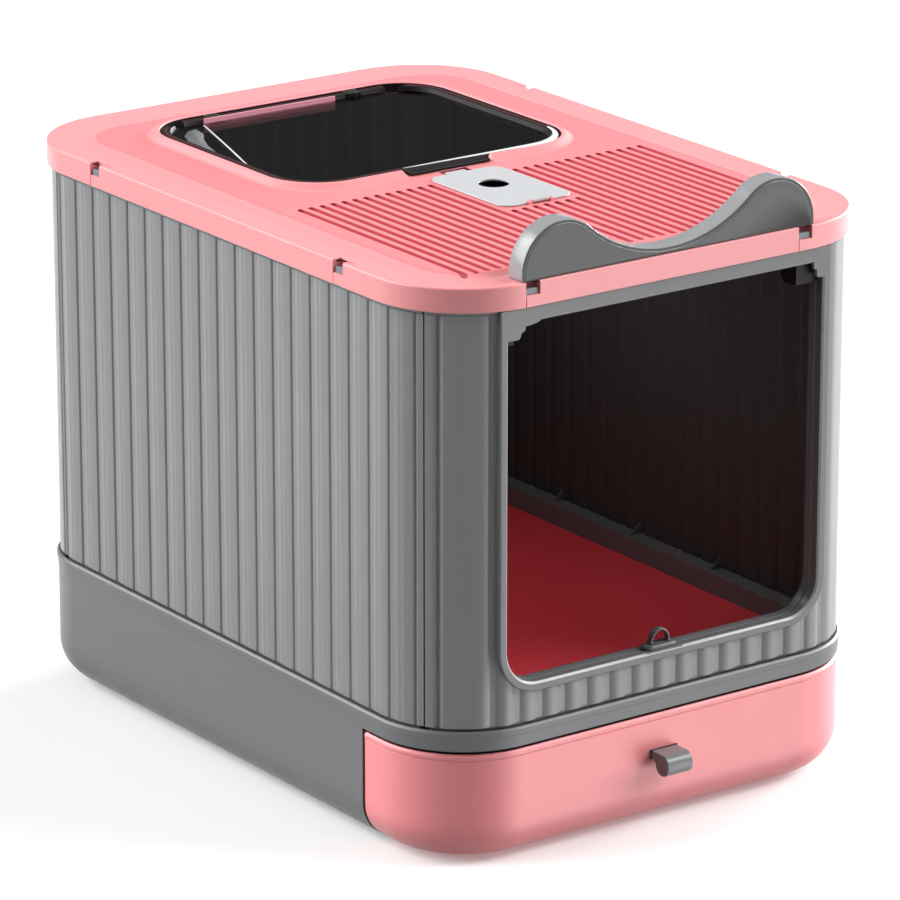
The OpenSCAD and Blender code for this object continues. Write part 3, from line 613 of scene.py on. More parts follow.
def linked(name: str, data: bpy.types.ID, back: Vector | None = None) -> bpy.types.Object:
    """Makes an object in the scene.

    Args:
        name: The object's name.
        data: Its mesh, light or camera.
        back: The way it looks away from.

    Returns:
        The object.
    """
    item = bpy.data.objects.new(name, data)
    bpy.context.scene.collection.objects.link(item)
    if back:
        item.rotation_mode = "QUATERNION"
        item.rotation_quaternion = (-back).to_track_quat("-Z", "Y")
    return item


def faces(item: bpy.types.Object) -> Iterator[tuple[bpy.types.MeshPolygon, float, float, float]]:
    """Each face of an object, with its middle in the shells' millimetres."""
    for face in item.data.polygons:
        yield face, face.center.x / MM, face.center.y / MM - SHIFT_Y, face.center.z / MM


class Cut(Enum):
    """What a second solid does to the first."""

    AWAY = "DIFFERENCE"
    WITH = "UNION"


def carve(
    target: bpy.types.Object, tool: Shell | bpy.types.Object, cut: Cut = Cut.AWAY, crossed: bool = True
) -> bpy.types.Object:
    """Cuts one solid with another, or joins them.

    Args:
        target: The solid that changes.
        tool: The solid it is cut with, which is used up.
        cut: What the tool does.
        crossed: Whether parts of one solid may cross each other.

    Returns:
        The target.
    """
    cutter = tool.build("cutter") if isinstance(tool, Shell) else tool
    modifier = target.modifiers.new("cut", "BOOLEAN")
    modifier.object, modifier.operation = cutter, cut.value
    modifier.solver, modifier.use_self = "EXACT", crossed
    graph = bpy.context.evaluated_depsgraph_get()
    mesh = bpy.data.meshes.new_from_object(target.evaluated_get(graph))
    target.modifiers.clear()
    old, target.data = target.data, mesh
    bpy.data.meshes.remove(old)
    bpy.data.objects.remove(cutter)
    return target


def rounded(item: bpy.types.Object, width: float, angle: float) -> bpy.types.Modifier:
    """Rounds the edges that turn by more than an angle.

    Args:
        item: The object.
        width: Width of the rounding in millimetres.
        angle: The angle in degrees.

    Returns:
        The modifier.
    """
    bevel = item.modifiers.new("edge", "BEVEL")
    bevel.width, bevel.segments = width * MM, 2
    bevel.limit_method, bevel.angle_limit = "ANGLE", math.radians(angle)
    return bevel


@dataclass
class Piece:
    """One finished piece: its mesh, body, slot, finishes and the CAD nodes it stands for."""

    item: bpy.types.Object
    body: str
    slot: str
    finishes: tuple[Finish, ...]
    nodes: tuple[str, ...]
    edge: float = 0.0
    angle: float = 50.0

    def place(self) -> None:
        """Rounds the edges, dresses the piece and lets it ride on its body."""
        mesh = self.item.data
        slots = [face.material_index for face in mesh.polygons]
        mesh.materials.clear()
        for finish in self.finishes:
            mesh.materials.append(finish.material())
        mesh.polygons.foreach_set("material_index", slots)
        mesh.polygons.foreach_set("use_smooth", [True] * len(mesh.polygons))
        if self.edge:
            bevel = rounded(self.item, self.edge, self.angle)
            bevel.use_clamp_overlap, bevel.miter_outer = False, "MITER_ARC"
            even = self.item.modifiers.new("even", "WEIGHTED_NORMAL")
            even.keep_sharp, even.weight = False, 80
        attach(self.item, self.body)
        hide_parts(*self.nodes)
        log.info("%s rides on %s, %d faces", self.item.name, self.body, len(mesh.polygons))


# ---------------------------------------------------------------- top cover


@dataclass(frozen=True)
class Notch:
    """A clip notch in the cover's skirt: its place and the angle at which it looks out."""

    x: float
    y: float
    turn: float

    def at(self, out: float, side: float, z: float) -> Vector:
        """The point so far outwards and to the side, at a height."""
        ahead = Vector((math.cos(math.radians(self.turn)), math.sin(math.radians(self.turn)), 0))
        return Vector((self.x, self.y, z)) + ahead * out + Vector((-ahead.y, ahead.x, 0)) * side

    def block(self, shell: Shell, out: Pair, side: Pair, heights: Pair) -> None:
        """Adds a block to a shell, by its two ends outwards, to the side and up."""
        corners = ((out[0], side[0]), (out[1], side[0]), (out[1], side[1]), (out[0], side[1]))
        shell.loft([[self.at(*corner, z) for corner in corners] for z in heights])


@dataclass
class TopCover:
    """The pink cover with its raised panel, hatch rim, grooves and clip notches."""

    outer: Outline = Outline(210, 292.5, 78)
    panel: Outline = Outline(177, 254.5, 44, 0, -8)
    hatch: Outline = Outline(134, 115, 45, 0, 107.5)
    cup: Outline = Outline(26.4, 42.4, 8.4, 0, -80)
    top: float = 449.5
    bottom: float = 430.5
    level: float = 452.0
    wall: float = 2.5
    plate: float = 3.0
    fillet: float = 2.0
    crest: float = 456.5
    ledge: float = 448.5
    groove_half: float = 2.6
    groove_pitch: float = 10.0
    groove_floor: float = 449.0
    plate_front: float = -130.5
    plate_half: float = 34.0
    tongue_half: float = 13.0
    tab_half: float = 40.0
    notch: float = 12.5
    notch_side: float = 166.0
    notch_front: float = 126.0

    def body(self) -> bpy.types.Object:
        """The cover without its hatch rim.

        Returns:
            The object, with its grooves in a slot of their own, darker pink as painted shade, and the face of
            its panel in another.
        """
        low, w = self.bottom, self.wall
        section = [(-w, self.top - self.plate), (-w, low + 0.5), (0.4 - w, low)]
        section += [(-0.6, low), (-0.15, low + 0.2), (0.0, low + 0.7)]
        section += [(self.fillet * (share - 1), self.top - self.fillet + self.fillet * rise)
                    for share, rise in arc((0, 0), 1.0, 0, 90, 6)]
        slope = [(6 - 9 * k / 8, self.top + (self.level - self.top) * smooth(k / 8)) for k in range(9)]
        made = Shell().loft(self.outer.rings(section) + self.panel.rings(slope)).build("cover_body")
        carve(made, self._openings())
        inside = self.panel.grown(-6)
        for face, x, y, z in faces(made):
            # Painted shade: faces down in the grooves take the darker pink.
            if inside.holds(x, y) and self.groove_floor - 0.1 < z < self.level - 0.6:
                face.material_index = 1
            elif z >= self.level - 0.8 and face.normal.z > 0.9:
                face.material_index = 2
        return made

    def _openings(self) -> Shell:
        """Hatch, grooves, cup hole, slot and clip notches.

        Returns:
            The cutting tool.
        """
        deep, high = self.top - 20, self.top + 30
        tool = Shell().loft(self.hatch.rings(((2.6, deep), (2.6, high))))
        front = self.panel.front + 4.5
        for i in range(-16, 17):
            x, floor = i * self.groove_pitch, self.groove_floor
            end = self.plate_front - 5 if abs(x) < self.plate_half else self.hatch.front - 34
            slot = Outline(self.groove_half, (end - front) / 2, self.groove_half, x, (front + end) / 2)
            tool.loft(slot.rings(((-0.5, floor), (-0.1, floor + 0.3), (0, floor + 0.9), (0, high)), 6))
        seat = self.level - 1.5
        rings = self.cup.rings(((0, deep), (0, seat)))
        tool.loft(rings + replace(self.cup.grown(4), radius=10).rings(((0, seat), (0, high))))
        tongue = self.cup.centre_y + 51.1
        tool.block((-self.tongue_half, tongue, deep), (self.tongue_half, tongue + 13.4, high))
        for notch in self.notches():
            self._notch(tool, notch)
        return tool

    def notches(self) -> list[Notch]:
        """The clip notches, two on each side and two in front."""
        side = [Notch(x * 210.0, y * self.notch_side, 0 if x > 0 else 180) for x in (-1, 1) for y in (-1, 1)]
        return side + [Notch(x * self.notch_front, -292.5, -90) for x in (-1, 1)]

    def _notch(self, tool: Shell, notch: Notch) -> None:
        """Adds one clip notch, its slit and, on the sides, the ramp beside it.

        Args:
            tool: The cutting tool.
            notch: The notch.
        """
        half = self.notch / 2
        notch.block(tool, (-7.5, 5), (-half, half), (self.top - 10.0, self.top + 20))
        notch.block(tool, (-1.1, 5), (-half, 0.44 - half), (self.bottom - 1, self.top - 9))
        if abs(notch.turn) != 90:
            forward = 1 if notch.turn == 180 else -1
            for k in range(6):
                side = sorted(forward * (half + 1.6 * (k + i) - 0.3) for i in (0, 1.2))
                notch.block(tool, (-7.2 + 0.2 * k, -4.6), side, (self.top - 1.5 + 0.25 * k, self.top + 3))

    def notch_walls(self) -> bpy.types.Object:
        """Low walls round each clip notch, under the cover's plate.

        Returns:
            The object.
        """
        shell = Shell()
        half, far = self.notch / 2, self.notch / 2 + 0.8
        behind, beside = (-8.9, -7.5), (-7.5, -2.6)
        walls = ((behind, (-far, far)), (beside, (-far, -half)), (beside, (half, far)))
        for notch in self.notches():
            for out, side in walls:
                notch.block(shell, out, side, (self.top - 10.4, self.top - 1.2))
        return shell.build("notch_walls")

    def rim(self) -> bpy.types.Object:
        """The rim round the hatch, its inner wall and the ledge that carries the flap.

        Returns:
            The object, with its inner wall and ledge coloured near black and the ledge's inner edge dark
            maroon, both painted shade, in slots of their own.
        """
        panel, crest, ledge = self.level, self.crest, self.ledge
        section = [
            (11, panel - 1.0), (11, panel - 0.02), (9.4, panel + 0.05), (8.4, panel + 0.3),
            (7.6, panel + 0.8), (3.9, crest - 0.9), (3.2, crest - 0.4), (2.4, crest), (1.0, crest),
            (0.5, crest - 0.15), (0.1, crest - 0.6), (0.0, crest - 1.0), (0.0, ledge + 0.6),
            (-0.5, ledge + 0.1), (-1.2, ledge), (-7.2, ledge), (-7.8, ledge - 0.3),
            (-8.0, ledge - 0.9), (-8.0, ledge - 2.1), (-7.6, ledge - 2.5), (2.5, ledge - 2.5),
            (2.7, panel - 1.0),
        ]
        made = Shell().sweep(self.hatch, section, 22).build("hatch_rim")
        y, half, low = self.hatch.front, self.tab_half, panel + 0.1
        side = [(half, low), (half + 2.2, crest), (half + 3.5, crest + 3)]
        shape = [(-x, z) for x, z in side[::-1]] + side
        dip = Shell().loft([facing(shape, y + d) for d in (-12.0, 1.0)])
        dip.block((-self.tongue_half, y - 14, low - 9), (self.tongue_half, y - 8, low + 9))
        carve(made, dip)
        inner, carrier = self.hatch.grown(0.7), self.hatch.grown(-6.9)
        # Painted shade: the inner wall and ledge of the pink rim are coloured near black, and the ledge's
        # inner edge dark maroon.
        for face, x, y, z in faces(made):
            if inner.holds(x, y) and z < crest - 0.9:
                face.material_index = 1 if carrier.holds(x, y) else 2
        return made

    def pin_ears(self) -> bpy.types.Object:
        """The two ears that hold the pin of the deodoriser plate.

        Returns:
            The object.
        """
        made = Shell()
        y, low, half = self.plate_front, self.level - 0.5, 1.9
        section = [(y - half, low), (y + half, low)] + arc((y, low + 2.1), half, 0, 180, 10)
        for x in (-9.8, 9.8):
            made.across(section, x - 1.2, x + 1.2)
        return made.build("plate_ears")

    def place(self) -> None:
        """Makes the cover's pieces."""
        for make, edge, finishes in (
            (self.body, 0.3, (Finish.PINK, Finish.PINK_DEEP, Finish.PINK_PANEL)),
            (self.rim, 0.3, (Finish.PINK, Finish.MAROON, Finish.SMOKE)),
            (self.pin_ears, 0.25, (Finish.PINK,)),
            (self.notch_walls, 0.15, (Finish.PINK,)),
        ):
            angle = 40.0 if make == self.body else 50.0
            Piece(make(), "lid", "pink", finishes, ("top_cover",), edge, angle).place()


# ---------------------------------------------------------------- wall panels


@dataclass(frozen=True)
class PanelLine:
    """The line that the panels' ribs follow, from the front centre round the left side."""

    half_x: float = 206.5
    half_y: float = 289.0
    radius: float = 74.5

    def marks(self) -> tuple[float, float, float, float, float]:
        """Stations where the straights and the corners meet, and the back centre.

        Returns:
            The five stations in order.
        """
        quarter = self.radius * math.pi / 2
        one = self.half_x - self.radius
        two = one + quarter
        three = two + 2 * (self.half_y - self.radius)
        return one, two, three, three + quarter, three + quarter + one

    def point(self, station: float, inset: float) -> Pair:
        """A point at a station, moved inwards.

        Args:
            station: Length along the line; negative or past the back centre goes on the right side.
            inset: Distance inwards.

        Returns:
            X and Y.
        """
        one, two, three, four, five = self.marks()
        if station < 0 or station > five:
            x, y = self.point(-station if station < 0 else 2 * five - station, inset)
            return -x, y
        straight, reach = self.half_y - self.radius, self.radius - inset
        if station < one:
            return -station, -self.half_y + inset
        if station < two:
            angle = math.radians(270) - (station - one) / self.radius
            return -one + reach * math.cos(angle), -straight + reach * math.sin(angle)
        if station < three:
            return -self.half_x + inset, -straight + station - two
        if station < four:
            angle = math.radians(180) - (station - three) / self.radius
            return -one + reach * math.cos(angle), straight + reach * math.sin(angle)
        return -one + station - four, self.half_y - inset


@dataclass
class FlutedPanel:
    """One fluted wall panel with a plain band at its head and a tongue at its foot."""

    name: str
    start: float
    end: float
    pitch: float
    groove_at: float
    mirrored: bool = False
    plain: tuple[int, ...] = ()
    strip: float = 0.0
    lean: float = 0.0
    line: PanelLine = PanelLine()
    sheet: float = 2.5
    depth: float = 2.5
    heights: Pair = (110.5, 446.5)
    band: Pair = (428.6, 434.0)
    tongue: Pair = (100.5, 110.6)
    steps: int = 28
    skins = (Finish.WALL, Finish.INNER_GREY, Finish.BAND)

    def stations(self) -> list[float]:
        """Stations from the start to the end, closer together near the deep grooves.

        Returns:
            The stations in order.
        """
        found = [self.start]
        first = math.floor((self.start - self.groove_at) / self.pitch - 1) * self.steps
        last = math.ceil((self.end - self.groove_at) / self.pitch + 1) * self.steps
        for k in range(first, last + 1):
            turn = k / self.steps
            station = self.groove_at + self.pitch * (turn - 0.11 * math.sin(2 * math.pi * turn))
            if self.start + 0.3 < station < self.end - 0.3:
                found.append(station)
        return found + [self.end]

    def flute(self, station: float) -> float:
        """Depth of the surface below the ribs.

        Strips lie flat between round pillars. Plain grooves part faces that lean towards the back.

        Args:
            station: Length along the line.

        Returns:
            The depth.
        """
        share = (station - self.groove_at) / self.pitch
        near = abs(share - round(share))
        if round(share) in self.plain or round(-share - 1) in self.plain:
            return 0.35 * smooth(1 - 2 * near)
        if self.strip and abs(share + 0.5) < 8:
            return self.depth * (1 - max(near - self.strip, 0.0) / (0.5 - self.strip)) ** 2 * 0.85
        turn = share - math.floor(share)
        groove = abs(math.cos(math.pi * share)) ** (22 if self.strip else 130)
        swell = smooth(min(max((turn - 0.5) / 0.34, 0.0), 1.0)) - turn
        dent = math.exp(-(((turn - 0.52) / 0.05) ** 2)) if self.lean else 0.0
        return (self.depth - self.lean * 0.85) * groove + self.lean * (swell + 0.5 + 0.4 * dent)

    def back(self, station: float) -> float:
        """Depth of the inner surface at a station: flat, with narrow grooves."""
        share = (station - self.groove_at) / self.pitch
        return self.sheet + 2.4 - 1.8 * abs(math.cos(math.pi * share)) ** 12

    def _stand(
        self,
        shell: Shell,
        stations: Sequence[float],
        outer: Callable[[float], float],
        inner: Callable[[float], float],
        heights: Pair,
        slot: int = 0,
    ) -> None:
        """Stands up a sheet between two lines, its inner half in the dark inner finish of painted shade.

        Args:
            shell: The shell that it is added to.
            stations: Stations along the line.
            outer: Depth of the outer line at a station.
            inner: Depth of the inner line at a station.
            heights: Lower and upper end.
            slot: Material slot of the outer half.
        """
        points = [self.line.point(s, outer(s)) for s in stations]
        points += [self.line.point(s, inner(s)) for s in reversed(stations)]
        sign, half = -1 if self.mirrored else 1, len(stations)
        plan = [(sign * x, y) for x, y in points]
        shell.loft([lying(plan, z) for z in heights], slots=[slot] * half + [1] * half)

    def item(self) -> bpy.types.Object:
        """The panel's sheet.

        Returns:
            The object, its inner half in a slot of its own, darkened as painted shade.
        """
        shell = Shell()
        self._stand(shell, self.stations(), self.flute, self.back, self.heights)
        return shell.build(self.name)

    def trims(self) -> bpy.types.Object:
        """The band at the panel's head in a lighter grey as painted highlight, the dark line below it as
        painted shadow, and the tongue at its foot, dark as painted shade.

        Returns:
            The object.
        """
        shell, low = Shell(), self.band[0]
        length = self.end - self.start
        count = max(8, int(length / 4))
        even = [self.start + length * i / count for i in range(count + 1)]
        short = [self.start + 3 + (length - 6) * i / count for i in range(count + 1)]
        for stations, outer, inner, heights, slot in (
            (even, -0.9, self.sheet - 0.2, self.band, 2),
            (even, -0.15, self.sheet - 0.2, (low - 0.9, low), 1),
            (short, 1.5, 4.0, self.tongue, 1),
        ):
            self._stand(shell, stations, lambda s: outer, lambda s: inner, heights, slot)
        return shell.build(self.name + "_band")

    def place(self, node: str, *tools: Shell) -> None:
        """Makes the panel's two pieces.

        Args:
            node: The CAD node that they stand for.
            tools: The first cuts the sheet, the others cut both.
        """
        sheet = carve(self.item(), tools[0])
        for item in (sheet, self.trims()):
            for tool in tools[1:]:
                carve(item, tool)
            Piece(item, "base", "grey", self.skins, (node,), 0.25, 60).place()


@dataclass
class Walls:
    """The four fluted panels with the clip hooks' room cut from their heads."""

    cover: TopCover
    line: PanelLine = PanelLine()
    front_wrap: float = 57.8
    back_wrap: float = 78.0
    seam: float = 1.3
    side_pitch: float = 25.0
    front_pitch: float = 20.75
    hook: tuple[Pair, ...] = ((-6.0, 439.2), (6.0, 439.2), (4.9, 444.3), (-4.9, 444.3))
    room_half: float = 7.2
    room_low: float = 443.5

    def hooks(self) -> bpy.types.Object:
        """The flat tips of the clip hooks, which show in the notches.

        Returns:
            The object.
        """
        shell = Shell()
        for notch in self.cover.notches():
            shell.loft([[notch.at(out, side, z) for side, z in self.hook] for out in (-6.4, -1.6)])
        return shell.build("clip_hooks")

    def seam_strips(self, seams: Sequence[float]) -> bpy.types.Object:
        """The strips behind the upright seams, which keep light out, coloured dark grey as painted shade.

        Args:
            seams: Stations of the seams on the left.

        Returns:
            The object.
        """
        shell = Shell()
        for middle in seams:
            stations = [middle - 3.5 + k for k in range(9)]
            plan = [self.line.point(s, 2.2) for s in stations]
            plan += [self.line.point(s, 4.6) for s in reversed(stations)]
            for sign in (-1, 1):
                shell.loft([lying([(sign * x, y) for x, y in plan], z) for z in (109.0, 445.0)])
        return shell.build("seam_strips")

    def _hook_room(self) -> Shell:
        """Room above each clip hook.

        Returns:
            The cutting tool.
        """
        tool, half = Shell(), self.room_half
        for notch in self.cover.notches():
            xs, ys = (notch.x - half, notch.x + half), (notch.y, notch.y * 0.94)
            if abs(notch.turn) != 90:
                xs, ys = sorted((notch.x, notch.x * 0.92)), (notch.y - half, notch.y + half)
            tool.block((xs[0], ys[0], self.room_low), (xs[1], ys[1], 480))
        return tool

    def place(self) -> None:
        """Makes the four panels, the hooks and the seam strips."""
        one, _, three, _, centre = self.line.marks()
        front = one + math.radians(self.front_wrap) * self.line.radius
        back = three + math.radians(90 - self.back_wrap) * self.line.radius
        room = self._hook_room()
        for name, mirrored in (("left_wall", False), ("right_wall", True)):
            panel = FlutedPanel(
                name + "_sheet", front + self.seam, back, self.side_pitch, front + 7.9, mirrored, lean=1.3
            )
            panel.place(name, room)
        Piece(self.hooks(), "base", "grey", (Finish.HOOK,), ("left_wall", "right_wall"), 0.4, 20).place()
        strips = self.seam_strips((front, back))
        Piece(strips, "base", "grey", (Finish.INNER_GREY,), ("back_panel",)).place()
        start = back + self.seam
        width = 2 * (centre - start)
        pitch = width / round(width / self.side_pitch)
        panel = FlutedPanel("back_panel_sheet", start, 2 * centre - start, pitch, start, lean=0.6)
        panel.place("back_panel", room)
        door, pitch = Doorway(), self.front_pitch
        panel = FlutedPanel("front_panel_sheet", -front, front, pitch, pitch / 2, False, (8,), 0.11)
        panel.place("front_panel", room, Shell().loft([door.ring(3.0, -FAR), door.ring(3.0, 0)]))
        door.place()


@dataclass
class Doorway:
    """The doorway's frame, its sill, the corner brackets and the hinge sockets."""

    half: float = 146.0
    sill: float = 140.5
    head: float = 418.5
    radius: float = 28.0
    flange: float = 7.0
    bar_top: float = 434.0
    front: float = -290.5
    reach: float = 17.0
    sheet: float = 2.5
    left_bracket: tuple[Pair, ...] = (
        (2.4, 2.4), (-29, 2.4), (-28.3, -0.1), (-25, -1.2), (-20, -2.1), (-15.6, -2.3), (-14.9, -2.8),
        (-14.7, -5.0), (-13.8, -5.9), (-12.2, -6.4), (-11.2, -7.4), (-10.5, -9.8), (-9.5, -11.1),
        (-8.6, -11.5), (2.4, -11.5),
    )
    right_bracket: tuple[Pair, ...] = (
        (2.4, 2.4), (-9.6, 2.4), (-9.4, -4.2), (-8.8, -4.9), (-7.0, -5.3), (-6.6, -6.0), (-6.4, -10.4),
        (-5.9, -11.3), (-4.0, -11.9), (2.4, -11.6),
    )

    def ring(self, grow: float, y: float, steps: int = 12) -> Ring:
        """The doorway's outline, grown, as a ring in an upright plane.

        Args:
            grow: How far outwards.
            y: Depth of the plane.
            steps: Parts of each lower corner's arc.

        Returns:
            The points.
        """
        rise = (self.bar_top - self.head) / self.flange
        top = self.head + (grow * rise if grow > self.sheet else grow)
        low, half, radius = self.sill - grow, self.half + grow, self.radius + grow
        corner = 1.2 if grow < self.sheet else 0.6
        flat = arc((half - radius, low + radius), radius, 270, 360, steps)
        flat += arc((half - corner, top - corner), corner, 0, 90, 4)
        flat += arc((-half + corner, top - corner), corner, 90, 180, 4)
        flat += arc((-half + radius, low + radius), radius, 180, 270, steps)
        return facing(flat, y)

    def frame(self) -> bpy.types.Object:
        """The flange with the sill, jambs and brackets behind it.

        Returns:
            The object, with the narrow slope round the opening in a slot of its own, a lighter glossier grey
            as painted highlight.
        """
        f, s, r = self.flange, self.sheet, self.reach
        section = [
            (0.0, 1.7), (0.1, 1.45), (1.4, 0.12), (1.7, 0), (f - 0.9, 0), (f - 0.35, 0.15),
            (f, 0.7), (f, 5.0), (s, 5.0), (s, r), (0.2, r), (0.0, r - 0.3),
            (0.0, 9.8), (0.7, 9.6), (0.7, 8.9), (0.0, 8.7),
        ]
        rings = [self.ring(grow, self.front + depth) for grow, depth in section]
        made = Shell().loft(rings, looped=True).build("door_frame")
        carve(made, self.brackets(), Cut.WITH)
        tool = Shell().block((-17, -295, 139.3), (17, -288.9, 143))
        carve(made, tool.blocks((126, -300, 430.2), (200, -240, 450)))
        # Painted highlight: the chamfer round the opening takes the lighter grey.
        for face, x, y, z in faces(made):
            near = abs(x) < self.half + 1.6 and self.sill - 1.6 < z < self.head + 1.6
            if near and 0.03 < y - self.front < 1.75 and abs(face.normal.y) < 0.95:
                face.material_index = 1
        return made

    def brackets(self) -> Shell:
        """Stepped brackets in the doorway's upper corners.

        Returns:
            The shell.
        """
        shell = Shell()
        for sign, steps in ((-1, self.left_bracket), (1, self.right_bracket)):
            shape = [(sign * (self.half + x), self.head + z) for x, z in steps]
            shell.loft([facing(shape, y) for y in (self.front, self.front + 3)])
        return shell

    def sill_lip(self) -> bpy.types.Object:
        """The lower edge behind the sill and the jambs, dark grey as painted shade.

        Returns:
            The object.
        """
        y = self.front + self.reach - 0.2
        rings = [self.ring(grow, y + depth) for grow, depth in ((1.0, 0), (1.0, 3.0), (2.4, 3.0), (2.4, 0))]
        return Shell().loft(rings, looped=True).build("sill_lip")

    def socket(self, sign: int) -> bpy.types.Object:
        """One hinge socket: a block with a round boss, bored for the pivot.

        Args:
            sign: -1 for the left one and 1 for the right one.

        Returns:
            The object.
        """
        y, h = self.front, self.head
        section = [(y + 7, h - 0.6), (y + 7, h - 16.8), (y + 7.4, h - 17.4), (y + 12, h - 17.5)]
        section += arc((y + 19, h - 11.5), 6.4, 250, 360, 12) + [(y + 25.2, h - 6), (y + 21, h - 0.6)]
        near, far = sorted((sign * (self.half - (21 if sign > 0 else 9.4)), sign * (self.half - 0.35)))
        made = Shell().across(section, near, far).build("socket_left" if sign < 0 else "socket_right")
        return carve(made, Shell().rod((sign * (self.half - 8), y + 19, h - 11.5), 2.6, 8))

    def place(self) -> None:
        """Makes the frame, the lip and the sockets."""
        finishes = (Finish.GREY, Finish.EDGE)
        Piece(self.frame(), "base", "grey", finishes, ("front_panel",), 0.2).place()
        Piece(self.sill_lip(), "base", "grey", (Finish.INNER_GREY,), ("front_panel",), 0.2, 40).place()
        for sign, node in ((-1, "door_hinge_left"), (1, "door_hinge_right")):
            Piece(self.socket(sign), "base", "dark_grey", (Finish.SMOKE,), (node,), 0.35, 40).place()


# ---------------------------------------------------------------- base


def tub_rings(outline: Outline, low: float, fillet: float, high: float) -> list[Ring]:
    """Rings of a tub from its floor up: a rounded lower edge and upright sides.

    Args:
        outline: The plan at the sides.
        low: Height of the floor.
        fillet: Radius of the lower edge.
        high: Height of the upper end.

    Returns:
        The rings, from the floor up.
    """
    section = [
        (inset - fillet if inset > 0 else -fillet, low + fillet - rise)
        for inset, rise in arc((0, 0), fillet, 90, 0, 12)
    ]
    return outline.rings(section + [(0, high)], 24)


@dataclass
class Base:
    """The grey tray with its rim, inner ledge, gussets and runners."""

    outer: Outline = Outline(209, 291.5, 77)
    proud: float = 1.2
    wall: float = 3.0
    low: float = 1.5
    fillet: float = 32.0
    rim: float = 108.5
    lip: float = 5.5
    open_below: float = 93.0
    cut: float = -191.5
    gusset: tuple[Pair, ...] = ((188.0, 111.9), (200.3, 111.9), (200.3, 121.0), (199.2, 121.0))

    def tub(self) -> bpy.types.Object:
        """The outer shell up to the rim, open in front below the rim.

        Returns:
            The object.
        """
        side, rim, foot = self.outer.grown(-self.proud), self.rim, self.rim - self.lip
        edge = [
            (-1.1, 94.0), (-0.75, 97.5), (-0.45, foot - 1.2), (-0.38, foot - 0.2), (-0.1, foot),
            (0.0, foot + 0.25), (0.0, rim - 1.8), (-0.12, rim - 1.55), (-1.35, rim - 0.15), (-1.65, rim),
            (-2.9, rim), (-3.3, rim - 0.2), (-3.4, rim - 0.6), (-3.4, 99.0),
        ]
        rings = tub_rings(side, self.low, self.fillet, 92.0) + self.outer.rings(edge, 24)
        inner = tub_rings(side.grown(-self.wall), self.low + self.wall, self.fillet - self.wall, 98.0)
        made = Shell().loft(rings + inner[::-1]).build("base_tub")
        return carve(made, Shell().block((-FAR, -FAR, BELOW), (FAR, self.cut, self.open_below)))

    def ledge(self) -> bpy.types.Object:
        """The channel's floor, the ledge and the flange that carries the screen.

        Returns:
            The object.
        """
        section = [
            (-3.2, 98), (-3.2, 100.5), (-8.5, 100.5), (-8.5, 112), (-23, 112), (-23, 92.5),
            (-30, 92.5), (-30, 90), (-20.5, 90), (-20.5, 98),
        ]
        return Shell().sweep(self.outer, section, 24).build("base_ledge")

    def gap_shade_strip(self) -> bpy.types.Object:
        """A black strip inside the gap above the drawer, standing in for the shade there: painted shade.

        Returns:
            The object.
        """
        section = [(-3.8, 91.0), (-3.8, 94.5), (-5.2, 94.5), (-5.2, 91.0)]
        made = Shell().sweep(self.outer, section, 24).build("gap_shade_strip")
        return carve(made, Shell().block((-FAR, self.cut, 0), (FAR, FAR, FAR / 2)))

    def gussets(self) -> bpy.types.Object:
        """Slender ribs on the ledge, against the side panels.

        Returns:
            The object.
        """
        shell = Shell()
        for sign in (-1, 1):
            for k in range(-2, 3):
                flat = [(sign * x, z) for x, z in self.gusset]
                shell.loft([facing(flat, 105 * k + d) for d in (-0.5, 0.5)])
        return shell.build("ledge_gussets")

    def runners(self) -> bpy.types.Object:
        """The runners under the drawer and the drawer's stops."""
        shell = Shell().blocks((116, self.cut + 20, 4.3), (124, self.cut + 403, 6.5))
        return shell.blocks((201.8, self.cut + 3, 58), (205.5, self.cut + 9, 82)).build("drawer_runners")

    def place(self) -> None:
        """Makes the base's pieces."""
        for item, finish, edge, angle in (
            (self.tub(), Finish.BASE, 0.35, 50),
            (self.ledge(), Finish.LEDGE, 0.5, 50),
            (self.gussets(), Finish.LEDGE, 0.2, 30),
            (self.gap_shade_strip(), Finish.SOCKET, 0.0, 50),
            (self.runners(), Finish.GREY, 0.4, 50),
        ):
            Piece(item, "base", "grey", (finish,), ("base_shell",), edge, angle).place()


# ---------------------------------------------------------------- drawer


